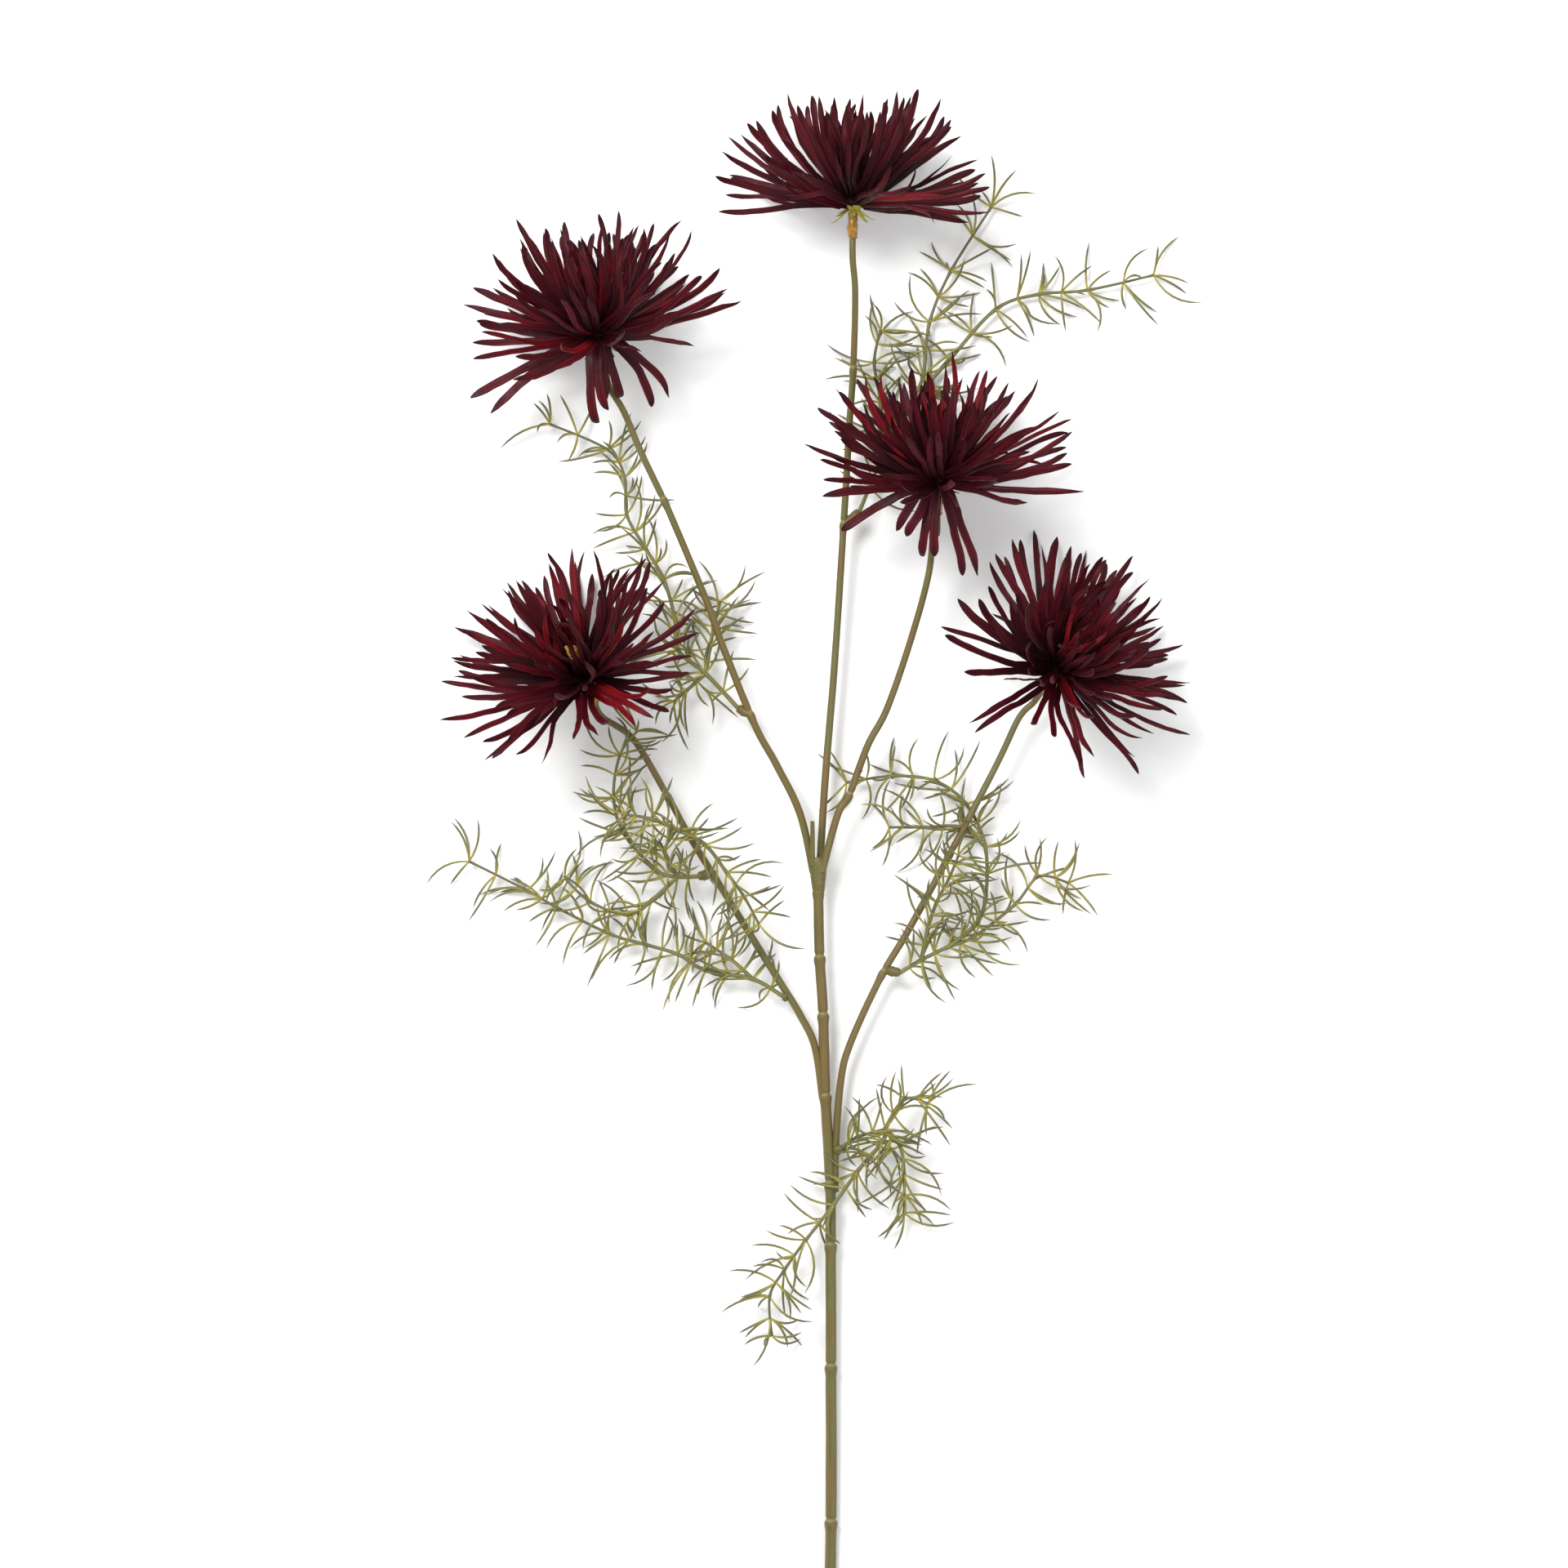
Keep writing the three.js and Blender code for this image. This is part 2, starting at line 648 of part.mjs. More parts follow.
// Each piece is made twice: at its real size, and grown by the gap, so that every later
// piece can be cleared of it.
const plan = [];
const add = (name, material, make) => plan.push({ name, material, make });

add('main_stem', 'stem', mainStem);
BRANCHES.forEach((_, number) => add(`branch_${number + 1}`, 'stem', (grow) => branch(number, grow)));
BLOOMS.forEach((_, number) => {
  add(`bloom_${number + 1}_collar`, 'collar', (grow) => collar(number, grow));
  add(`bloom_${number + 1}_calyx`, 'sepal', (grow) => calyx(number, grow));
  add(`bloom_${number + 1}_stamens`, 'stamen', (grow) => stamens(number, grow));
});
WHORLS.forEach(({ name }, level) => {
  BLOOMS.forEach((_, number) => {
    add(`bloom_${number + 1}_${name}_petals`, 'petal', (grow) => whorl(number, level, grow));
  });
});
SPRIGS.forEach(({ name }, index) => add(name, 'sprig', (grow) => sprig(index, grow)));

const boxesMeet = (a, b) => [0, 1, 2].every((i) => a.min[i] <= b.max[i] && b.min[i] <= a.max[i]);

function largestBody(solid) {
  const bodies = solid.asOriginal().simplify(SLIVER).decompose();
  return bodies.reduce((best, other) => (other.volume() > best.volume() ? other : best));
}

function clearedPieces() {
  const done = [];
  for (const { name, material, make } of plan) {
    let solid = make(0);
    for (const earlier of done) {
      if (!boxesMeet(earlier.grown.boundingBox(), solid.boundingBox())) continue;
      solid = solid.subtract(earlier.grown);
    }
    done.push({ name, material, solid: largestBody(solid), grown: make(GAP) });
  }
  return done;
}

// The faces in order of size, so that a mesh's first face is never a sliver.
function largestFirst(positions, triVerts) {
  const corner = (vertex) => vec(...positions.slice(3 * vertex, 3 * vertex + 3));
  const faces = [];
  for (let i = 0; i < triVerts.length; i += 3) {
    const face = [...triVerts.slice(i, i + 3)];
    faces.push({ face, area: new THREE.Triangle(...face.map(corner)).getArea() });
  }
  return faces.sort((a, b) => b.area - a.area).flatMap(({ face }) => face);
}

function toMesh({ name, material, solid }) {
  const { vertProperties, triVerts, numProp } = solid.getMesh();
  const positions = [];
  for (let i = 0; i < vertProperties.length; i += numProp) {
    positions.push(vertProperties[i], vertProperties[i + 1], vertProperties[i + 2]);
  }
  const geometry = new THREE.BufferGeometry();
  geometry.setAttribute('position', new THREE.Float32BufferAttribute(positions, 3));
  geometry.setIndex(largestFirst(positions, triVerts));
  const mesh = new THREE.Mesh(geometry, MATERIALS[material]);
  mesh.name = name;
  return mesh;
}

const group = new THREE.Group();
for (const piece of clearedPieces()) group.add(toMesh(piece));

// The origin is under the middle of the whole spray, on the surface that it lies on.
const box = new THREE.Box3().setFromObject(group);
const centre = box.getCenter(vec(0, 0, 0));
for (const mesh of group.children) mesh.position.set(-centre.x, -centre.y, -box.min.z);

export default group;
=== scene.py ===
import math

import bpy
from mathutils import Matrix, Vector, noise


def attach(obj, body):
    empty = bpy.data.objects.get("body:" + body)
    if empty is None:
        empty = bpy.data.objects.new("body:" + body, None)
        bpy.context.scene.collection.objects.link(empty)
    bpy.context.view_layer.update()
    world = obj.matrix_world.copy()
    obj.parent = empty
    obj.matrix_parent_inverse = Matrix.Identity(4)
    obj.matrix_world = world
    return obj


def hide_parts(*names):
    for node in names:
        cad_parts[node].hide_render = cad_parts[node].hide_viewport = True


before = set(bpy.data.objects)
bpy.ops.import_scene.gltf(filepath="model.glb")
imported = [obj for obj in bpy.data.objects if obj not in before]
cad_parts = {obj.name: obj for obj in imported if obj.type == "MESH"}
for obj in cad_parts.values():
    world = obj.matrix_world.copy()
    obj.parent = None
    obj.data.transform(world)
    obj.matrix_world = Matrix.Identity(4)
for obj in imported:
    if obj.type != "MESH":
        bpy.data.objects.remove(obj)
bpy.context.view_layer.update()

# Spider chrysanthemum spray lying on a pale surface: jointed stems, five spider blooms and
# six fern sprigs. Routes and angles are in millimetres and degrees, as the object was laid
# out; every mesh is made in metres and placed by the frame's main stem.

MM = 0.001
UP = Vector((0, 0, 1))

# ---------- driving dimensions, in millimetres ----------

STEM = {"butt": 2.7, "top": 2.35}
BRANCH = {"root": 1.8, "head": 1.5}
COLLAR = {"length": 12, "foot": 1.9, "waist": 2.5, "top": 2.2}
CALYX = {"depth": 3, "rim": 4.6, "sepals": 8, "length": 10, "width": 3.1}
RECEPTACLE = {"foot": 5.3, "top": 4.0}
PLUG = {"radius": 3.4, "height": 13}
GRANULES = 300                   # on each plug
GAP = 0.3
HUB = 1.8                        # thickness of the disc that carries one whorl of petals
PETAL_STEPS = 12
LOWEST = 0.9                     # height of a petal that lies on the surface
LAYER = 2.3                      # each whorl lies this much higher than the one outside it
FINGER_WIDTH = 3.1
NEEDLE = {"shortest": 13, "longest": 27, "width": 1.05}
WIRE = {"root": 1.05, "tip": 0.55}
# A socket's outline, as shares of its length and the radius there.
SOCKET_SHAPE = [
    (0, 1.8), (0.25, 2.3), (0.45, 2.6), (0.62, 2.2), (0.72, 2.35), (0.95, 1.9), (1, 1.2),
]

# Petal whorls from the outside in, with the same angles as the construction: elevation above
# the plane across the bloom's axis, its spread, and the curl towards the axis.
WHORLS = [
    {"name": "outer", "count": 14, "elevation": 6, "spread": 18, "length": 69, "curl": 8, "hub": 6.2},
    {"name": "middle", "count": 14, "elevation": 27, "spread": 16, "length": 67, "curl": 10, "hub": 6},
    {"name": "inner", "count": 12, "elevation": 48, "spread": 16, "length": 61, "curl": 12, "hub": 5.6},
    {"name": "core", "count": 8, "elevation": 70, "spread": 12, "length": 46, "curl": 14, "hub": 5.2},
]

# Each bloom's place, heading, tilt, the height that its petals come down to, and its hanging
# petals as azimuth, elevation, curl and length.
BLOOMS = [
    {"at": (10.6, 662, 41), "heading": 90, "tilt": 4, "floor": 0, "hanging": [(5, -6, 4, 56)]},
    {
        "at": (-107.5, 601, 37), "heading": 102, "tilt": 20, "floor": 0,
        "hanging": [(172, -14, -6, 62), (112, -48, -30, 44), (84, -58, -26, 36), (42, -34, -20, 44)],
    },
    {"at": (-114.4, 442, 33), "heading": 115, "tilt": 40, "floor": 0, "hanging": [(250, -12, -8, 50)]},
    {
        "at": (49.8, 533, 45), "heading": 90, "tilt": 22, "floor": 9,
        "hanging": [(60, -46, -24, 48), (104, -52, -22, 40), (168, -14, -4, 56), (128, -30, -16, 30)],
    },
    {"at": (105.6, 446, 33.6), "heading": 55, "tilt": 45, "floor": 0, "hanging": [(198, -14, 22, 33)]},
]

MAIN = {
    "from": 2.75, "to": 13.7, "bend": 1.2,
    "nodes": [47, 120, 177, 206, 247, 285, 312, 343],
    "route": [
        (0, 0), (0.8, 47), (0.8, 120), (0.6, 177), (0.4, 206), (-1.9, 247), (-3, 285),
        (-4.6, 312), (-5.3, 343), (-5.7, 359),
    ],
}
BRANCHES = [
    {
        "from": 11.4, "bend": 4, "nodes": [515, 587],
        "route": [
            (-4.6, 352), (-3, 381.5), (-1.1, 407), (1.5, 438), (3.8, 470), (6.1, 507),
            (8, 538), (9.4, 564), (11, 587), (11.8, 621),
        ],
    },
    {
        "from": 14.4, "bend": 1.5, "nodes": [426, 526],
        "route": [
            (-7.6, 352), (-13.7, 379), (-24.7, 402), (-35, 421), (-49.8, 457.5), (-56, 475),
            (-69, 506.5), (-77.5, 526), (-88, 548), (-96, 567),
        ],
    },
    {
        "from": 9.6, "bend": 1.3, "nodes": [352, 388],
        "route": [
            (-3.2, 246), (-6.8, 270), (-13.7, 285), (-24.7, 303), (-36, 321), (-47, 339),
            (-65, 368), (-76, 388), (-91.6, 414),
        ],
    },
    {
        "from": 15.8, "bend": 1.5, "nodes": [388],
        "route": [
            (-3.6, 352), (3.8, 379), (9.1, 388), (17.9, 411.5), (26.6, 428), (37, 458),
            (45.6, 489), (48, 508),
        ],
    },
    {
        "from": 8, "bend": 1.3, "nodes": [305, 361],
        "route": [
            (2.6, 202), (3, 226), (5.3, 254), (9.5, 271), (23.6, 302), (37, 325),
            (56.6, 361), (78, 402), (88.5, 424),
        ],
    },
]

# Fern sprigs: each wire's heights at its start and end, and its points seen from above.
SPRIGS = {
    "sprig_a": [
        ((13, 6), [(14, 521), (24, 545)]),
        ((6, 5), [(24, 545), (38, 572), (44, 585), (47, 610), (57, 634), (76, 664)]),
        ((5.7, 5), [(38, 572), (56, 592), (78, 616), (98, 623), (121, 625), (152, 632)]),
        ((6, 8), [(24, 545), (24, 572), (21, 591), (24, 606)]),
    ],
    "sprig_b": [
        ((14, 8), [
            (-43, 429), (-58, 445), (-71, 456), (-72, 469), (-77.5, 489), (-86, 503.5),
            (-95, 519.5), (-96, 537), (-104, 550), (-131, 562),
        ]),
        ((13, 9), [(-58, 445), (-56, 457), (-54, 467), (-51, 479)]),
        ((13, 8), [(-58, 445), (-67, 437), (-73, 432)]),
    ],
    "sprig_c": [
        ((17, 16), [(-62, 350), (-71, 350), (-81, 353), (-96, 370), (-101, 387), (-98, 407), (-90, 418)]),
        ((17.5, 30), [(-71, 350), (-77, 362), (-71, 372)]),
        ((30, 27), [(-71, 372), (-58, 365), (-48, 352), (-40, 341), (-33, 328)]),
        ((30, 28), [(-71, 372), (-83, 377), (-95, 379)]),
        ((17, 6), [(-71, 350), (-83, 339), (-94, 332), (-112, 338), (-124, 349)]),
    ],
    "sprig_d": [
        ((12, 6), [
            (-22, 294), (-36, 302), (-58, 306), (-71, 313.5), (-86, 318), (-103, 323),
            (-128, 335.5), (-142, 343.5), (-169, 357),
        ]),
        ((11, 7), [(-36, 302), (-46, 311), (-58, 319)]),
    ],
    "sprig_e": [
        ((14, 10), [(33, 305), (43, 311), (55.5, 317), (68, 322), (87, 337), (98, 350), (112, 347)]),
        ((13, 6), [
            (55.5, 317), (68, 327), (73, 339), (73, 364), (64, 384), (49, 395), (29, 397), (8, 394),
        ]),
        ((9, 6), [(73, 364), (62, 373), (44, 373), (28, 373)]),
        ((14, 27), [(43, 311), (46, 326), (50, 338), (56, 350), (60, 360)]),
    ],
    "sprig_f": [
        ((10.5, 16), [(6, 223), (13, 228), (26, 232)]),
        ((16, 12), [
            (26, 232), (24.7, 226), (13, 212), (2, 196.5), (-11, 180), (-21, 166), (-28, 153.5),
            (-27, 135),
        ]),
        ((16, 18), [(26, 232), (35, 246), (46, 244)]),
        ((16, 6), [(26, 232), (33, 224), (35, 210.5), (35, 192)]),
    ],
}

# Sockets that a sprig's wire is plugged into: the stem, the root and the mouth.
SOCKETS = {
    "branch_1": [((7.2, 514), (14, 521, 13))],
    "branch_2": [((-38, 426), (-43, 429, 14))],
    "branch_3": [((-55, 351.5), (-61.5, 350, 17)), ((-19.3, 293.5), (-22, 294, 12))],
    "branch_5": [((26.5, 306), (33, 305, 14))],
    "main_stem": [((2, 221), (6, 223, 10.5))],
}


# ---------- where the layout sits in the frame ----------

def frame_offset():
    """The cut end's centre in the frame, less its place in the layout."""
    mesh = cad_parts["main_stem"].data
    low = min(vertex.co.y for vertex in mesh.vertices)
    ring = {tuple(round(c, 6) for c in v.co) for v in mesh.vertices if v.co.y < low + 2 * MM}
    centre = sum((Vector(point) for point in ring), Vector()) / len(ring)
    return centre - Vector((0, 0, MAIN["from"])) * MM


OFFSET = frame_offset()


def scatter(seed, index):
    """A repeatable number from 0 to 1, the same as the construction's."""
    wave = math.sin(seed * 12.9898 + index * 78.233) * 43758.5453
    return wave - math.floor(wave)


def mix(low, high, share):
    return low + (high - low) * share


def smooth(points, steps):
    """Points on a smooth curve through the given ones."""
    result = []
    for i in range(len(points) - 1):
        p0 = points[max(i - 1, 0)]
        p1 = points[i]
        p2 = points[i + 1]
        p3 = points[min(i + 2, len(points) - 1)]
        for k in range(steps):
            t = k / steps
            point = p1 * 2 + (p2 - p0) * t
            point += (p0 * 2 - p1 * 5 + p2 * 4 - p3) * t * t
            point += (p1 * 3 - p2 * 3 + p3 - p0) * t ** 3
            result.append(point * 0.5)
    result.append(points[-1].copy())
    return result


# ---------- building nodes ----------

def put(tree, kind, inputs=None, **settings):
    """Add a node with its settings, and set or link its inputs."""
    node = tree.nodes.new(kind)
    for name, value in settings.items():
        setattr(node, name, value)
    for key, value in (inputs or {}).items():
        if isinstance(value, bpy.types.NodeSocket):
            tree.links.new(value, node.inputs[key])
        else:
            node.inputs[key].default_value = value
    return node


def new_geometry_tree(name, numbers):
    """A geometry tree with its named inputs, each a socket type and a default."""
    tree = bpy.data.node_groups.new(name, "GeometryNodeTree")
    tree.interface.new_socket("Geometry", in_out="INPUT", socket_type="NodeSocketGeometry")
    for label, (kind, default) in numbers.items():
        socket = tree.interface.new_socket(label, in_out="INPUT", socket_type=kind)
        if default is not None:
            socket.default_value = default
    tree.interface.new_socket("Geometry", in_out="OUTPUT", socket_type="NodeSocketGeometry")
    return tree


def finish_tree(tree, geometry, material):
    """End a tree with real geometry, smooth faces and its material."""
    real = put(tree, "GeometryNodeRealizeInstances", {"Geometry": geometry})
    shade = put(tree, "GeometryNodeSetShadeSmooth", {"Geometry": real.outputs[0]})
    coat = put(tree, "GeometryNodeSetMaterial", {
        "Geometry": shade.outputs[0], "Material": material,
    })
    put(tree, "NodeGroupOutput", {0: coat.outputs[0]})


def swept_tree():
    """Sweep a cupped lens along every spine: round for stems, flat and cupped for blades."""
    tree = new_geometry_tree("Swept blade", {
        "Sides": ("NodeSocketInt", 8),
        "Thickness": ("NodeSocketFloat", 1.0),
        "Cup": ("NodeSocketFloat", 0.0),
        "Ripple": ("NodeSocketFloat", 0.0),
        "Ripple Scale": ("NodeSocketFloat", 60.0),
        "Material": ("NodeSocketMaterial", None),
    })
    given = put(tree, "NodeGroupInput").outputs
    facing = put(tree, "GeometryNodeInputNamedAttribute", {
        "Name": "facing",
    }, data_type="FLOAT_VECTOR")
    width = put(tree, "GeometryNodeInputNamedAttribute", {"Name": "half_width"}, data_type="FLOAT")
    curve = put(tree, "GeometryNodeMeshToCurve", {"Mesh": given["Geometry"]})
    turned_curve = put(tree, "GeometryNodeSetCurveNormal", {
        "Curve": curve.outputs[0], "Normal": facing.outputs[0],
    }, mode="FREE")

    # The section: a circle pressed to a lens, then bent up at its edges.
    circle = put(tree, "GeometryNodeCurvePrimitiveCircle", {
        "Resolution": given["Sides"], "Radius": 1.0,
    })
    position = put(tree, "GeometryNodeInputPosition")
    where = put(tree, "ShaderNodeSeparateXYZ", {0: position.outputs[0]})
    rim = put(tree, "ShaderNodeMath", {0: where.outputs[0]}, operation="ABSOLUTE")
    marked = put(tree, "GeometryNodeStoreNamedAttribute", {
        "Geometry": circle.outputs[0], "Name": "rim", "Value": rim.outputs[0],
    }, data_type="FLOAT", domain="POINT")
    around = put(tree, "GeometryNodeSplineParameter")
    counted = put(tree, "GeometryNodeStoreNamedAttribute", {
        "Geometry": marked.outputs[0], "Name": "around", "Value": around.outputs[0],
    }, data_type="FLOAT", domain="POINT")
    square = put(tree, "ShaderNodeMath", {
        0: where.outputs[0], 1: where.outputs[0],
    }, operation="MULTIPLY")
    raised = put(tree, "ShaderNodeMath", {
        0: square.outputs[0], 1: given["Cup"],
    }, operation="MULTIPLY")
    pressed = put(tree, "ShaderNodeMath", {
        0: where.outputs[1], 1: given["Thickness"], 2: raised.outputs[0],
    }, operation="MULTIPLY_ADD")
    place = put(tree, "ShaderNodeCombineXYZ", {0: where.outputs[0], 1: pressed.outputs[0]})
    section = put(tree, "GeometryNodeSetPosition", {
        "Geometry": counted.outputs[0], "Position": place.outputs[0],
    })
    blade = put(tree, "GeometryNodeCurveToMesh", {
        "Curve": turned_curve.outputs[0], "Profile Curve": section.outputs[0],
        "Scale": width.outputs[0], "Fill Caps": True,
    })

    # A slight ripple, so that no two blades have the same surface.
    waves = put(tree, "ShaderNodeTexNoise", {"Scale": given["Ripple Scale"], "Detail": 1.0})
    centred = put(tree, "ShaderNodeVectorMath", {
        0: waves.outputs["Color"], 1: (0.5, 0.5, 0.5),
    }, operation="SUBTRACT")
    push = put(tree, "ShaderNodeVectorMath", {
        0: centred.outputs[0], "Scale": given["Ripple"],
    }, operation="SCALE")
    rippled = put(tree, "GeometryNodeSetPosition", {
        "Geometry": blade.outputs[0], "Offset": push.outputs[0],
    })
    finish_tree(tree, rippled.outputs[0], given["Material"])
    return tree


def bead_tree():
    """Put a small bead of varied size on every point."""
    tree = new_geometry_tree("Beads on points", {
        "Bead Radius": ("NodeSocketFloat", 0.5 * MM),
        "Seed": ("NodeSocketInt", 3),
        "Material": ("NodeSocketMaterial", None),
    })
    given = put(tree, "NodeGroupInput").outputs
    points = put(tree, "GeometryNodeMeshToPoints", {"Mesh": given["Geometry"]})
    bead = put(tree, "GeometryNodeMeshIcoSphere", {
        "Radius": given["Bead Radius"], "Subdivisions": 2,
    })
    size = put(tree, "FunctionNodeRandomValue", {
        2: 0.7, 3: 1.25, "Seed": given["Seed"],
    }, data_type="FLOAT")
    beads = put(tree, "GeometryNodeInstanceOnPoints", {
        "Points": points.outputs[0], "Instance": bead.outputs[0], "Scale": size.outputs[1],
    })
    finish_tree(tree, beads.outputs[0], given["Material"])
    return tree


SWEPT = swept_tree()
BEADS = bead_tree()


def run_tree(name, source, tree, values):
    """Run a tree on a source mesh and keep the result as a plain mesh object."""
    holder = bpy.data.objects.new(name + "_source", source)
    bpy.context.scene.collection.objects.link(holder)
    modifier = holder.modifiers.new("Maker", "NODES")
    modifier.node_group = tree
    for item in tree.interface.items_tree:
        if item.in_out == "INPUT" and item.name in values:
            modifier[item.identifier] = values[item.name]
    depsgraph = bpy.context.evaluated_depsgraph_get()
    mesh = bpy.data.meshes.new_from_object(
        holder.evaluated_get(depsgraph), preserve_all_data_layers=True, depsgraph=depsgraph,
    )
    bpy.data.objects.remove(holder)
    mesh.name = name
    piece = bpy.data.objects.new(name, mesh)
    bpy.context.scene.collection.objects.link(piece)
    return piece


def sweep(name, spines, material, sides, thickness=1.0, cup=0.0, ripple=0.0, waves=60.0):
    """Blades or tubes along spines, each a list of (point, half width, facing, tone, share)."""
    points = []
    edges = []
    for spine in spines:
        start = len(points)
        points.extend(spine)
        edges.extend((start + i, start + i + 1) for i in range(len(spine) - 1))
    mesh = bpy.data.meshes.new(name + "_spines")
    mesh.from_pydata([row[0] * MM + OFFSET for row in points], edges, [])
    for label, column in (("half_width", 1), ("tone", 3), ("share", 4)):
        scale = MM if label == "half_width" else 1
        values = [row[column] * scale for row in points]
        mesh.attributes.new(label, "FLOAT", "POINT").data.foreach_set("value", values)
    facings = [c for row in points for c in row[2]]
    mesh.attributes.new("facing", "FLOAT_VECTOR", "POINT").data.foreach_set("vector", facings)
    return run_tree(name, mesh, SWEPT, {
        "Sides": sides, "Thickness": thickness, "Cup": cup, "Ripple": ripple * MM,
        "Ripple Scale": waves, "Material": material,
    })


# ---------- materials ----------

def linear(text):
    """An sRGB hex colour as linear red, green, blue and alpha."""
    channels = [int(text[i:i + 2], 16) / 255 for i in (1, 3, 5)]
    return tuple(
        c / 12.92 if c <= 0.04045 else ((c + 0.055) / 1.055) ** 2.4 for c in channels
    ) + (1.0,)


def new_material(name, **sockets):
    """A material with one principled shader, and plain values on its own sockets."""
    material = bpy.data.materials.new(name)
    material.use_nodes = True
    tree = material.node_tree
    shader = tree.nodes["Principled BSDF"]
    for label, value in sockets.items():
        shader.inputs[label.replace("_", " ")].default_value = value
    return material, tree, shader


def ramp(tree, factor, stops):
    """Colours spread over a factor from 0 to 1."""
    node = put(tree, "ShaderNodeValToRGB", {0: factor})
    elements = node.color_ramp.elements
    while len(elements) < len(stops):
        elements.new(0.5)
    for element, (position, colour) in zip(elements, stops):
        element.position = position
        element.color = linear(colour)
    return node.outputs[0]


def attribute(tree, name):
    return put(tree, "ShaderNodeAttribute", attribute_name=name).outputs["Fac"]


def blend_colours(tree, factor, first, second, mode="MIX"):
    node = put(tree, "ShaderNodeMix", data_type="RGBA", blend_type=mode)
    for index, value in ((0, factor), (6, first), (7, second)):
        if isinstance(value, bpy.types.NodeSocket):
            tree.links.new(value, node.inputs[index])
        else:
            node.inputs[index].default_value = value
    return node.outputs[2]


def between(tree, value, low, high, to_low=0.0, to_high=1.0):
    """Map a value from one range to another, smoothly and clamped."""
    node = put(tree, "ShaderNodeMapRange", {
        "Value": value, "From Min": low, "From Max": high, "To Min": to_low, "To Max": to_high,
    }, interpolation_type="SMOOTHSTEP")
    return node.outputs[0]


def scaled(tree, label, factor):
    """A named attribute times a factor."""
    return put(tree, "ShaderNodeMath", {
        0: attribute(tree, label), 1: factor,
    }, operation="MULTIPLY").outputs[0]


def streaks(tree, across, along, detail=3.0):
    """Noise drawn out along a blade or a stem: so many cells across and along it."""
    place = put(tree, "ShaderNodeCombineXYZ", {
        0: scaled(tree, "around", across),
        1: scaled(tree, "share", along),
        2: scaled(tree, "tone", 37.0),
    })
    return put(tree, "ShaderNodeTexNoise", {
        "Vector": place.outputs[0], "Scale": 1.0, "Detail": detail,
    }).outputs[0]


def grain(tree, size_mm, detail=2.0):
    """Even noise with cells of a real size, on the piece's own coordinates."""
    where = put(tree, "ShaderNodeTexCoord").outputs["Object"]
    return put(tree, "ShaderNodeTexNoise", {
        "Vector": where, "Scale": 1 / (size_mm * MM), "Detail": detail,
    }).outputs[0]


def bump(tree, shader, height, depth_mm, strength=0.5):
    node = put(tree, "ShaderNodeBump", {
        "Height": height, "Strength": strength, "Distance": depth_mm * MM,
    })
    tree.links.new(node.outputs[0], shader.inputs["Normal"])


def petal_material():
    """Polyester satin, dyed and heat-set: dark burgundy, folded along its middle, with redder
    blades here and there and dark tips; painted shade in the crease and towards the bloom's
    centre, and a painted highlight along the edges."""
    material, tree, shader = new_material(
        "dyed_polyester_satin", Roughness=0.55, IOR=1.4, Specular_IOR_Level=0.2,
    )
    dyed = ramp(tree, attribute(tree, "tone"), [
        (0.0, "#1c0409"), (0.4, "#310710"), (0.75, "#460a15"), (0.93, "#5c0d17"), (1.0, "#8a131b"),
    ])
    flush = between(tree, attribute(tree, "share"), 0.35, 0.8, 0.0, 0.4)
    flushed = blend_colours(tree, flush, dyed, linear("#6a101b"))
    # Painted shade: each finger is darker towards its root, at the bloom's centre where the petals crowd
    # together.
    painted_centre_shade = between(tree, attribute(tree, "share"), 0.0, 0.35, 0.55, 0.0)
    centre_shaded = blend_colours(tree, painted_centre_shade, flushed, linear("#1c050b"))
    tips = between(tree, attribute(tree, "share"), 0.8, 1.0, 0.0, 0.7)
    tipped = blend_colours(tree, tips, centre_shaded, linear("#1f060c"))
    # Painted shade: darker along the crease down the middle of each finger.
    painted_fold_shade = between(tree, attribute(tree, "rim"), 0.0, 0.55, 0.5, 0.0)
    fold_shaded = blend_colours(tree, painted_fold_shade, tipped, linear("#1c050b"))
    veins = between(tree, streaks(tree, 7.0, 5.0), 0.4, 0.75, 0.0, 0.45)
    veined = blend_colours(tree, veins, fold_shaded, linear("#240810"))
    # Painted highlight: a paler rim along both edges of each finger.
    edge = between(tree, attribute(tree, "rim"), 0.88, 1.0, 0.0, 0.35)
    edge_highlighted = blend_colours(tree, edge, veined, linear("#6f222c"))
    tree.links.new(edge_highlighted, shader.inputs["Base Color"])
    worn = between(tree, grain(tree, 6.0), 0.3, 0.7, 0.42, 0.62)
    tree.links.new(worn, shader.inputs["Roughness"])
    bump(tree, shader, streaks(tree, 16.0, 9.0), 0.25, 0.6)
    return material


def stem_material():
    """Polyethylene moulded over wire: olive with a brown flush in patches, semi-gloss, with
    fine lengthwise streaks from the mould."""
    material, tree, shader = new_material("moulded_polyethylene_stem", Roughness=0.42, IOR=1.51)
    patches = between(tree, grain(tree, 28.0), 0.38, 0.66)
    base = blend_colours(tree, patches, linear("#635f2c"), linear("#6d5727"))
    lines = between(tree, streaks(tree, 9.0, 14.0), 0.35, 0.7, 0.0, 0.5)
    lined = blend_colours(tree, lines, base, linear("#45431f"))
    joints = between(tree, attribute(tree, "tone"), 0.2, 1.0, 0.0, 0.8)
    ringed = blend_colours(tree, joints, lined, linear("#85773e"))
    tree.links.new(ringed, shader.inputs["Base Color"])
    tree.links.new(between(tree, grain(tree, 4.0), 0.3, 0.7, 0.34, 0.5), shader.inputs["Roughness"])
    bump(tree, shader, streaks(tree, 14.0, 60.0), 0.2, 0.5)
    return material


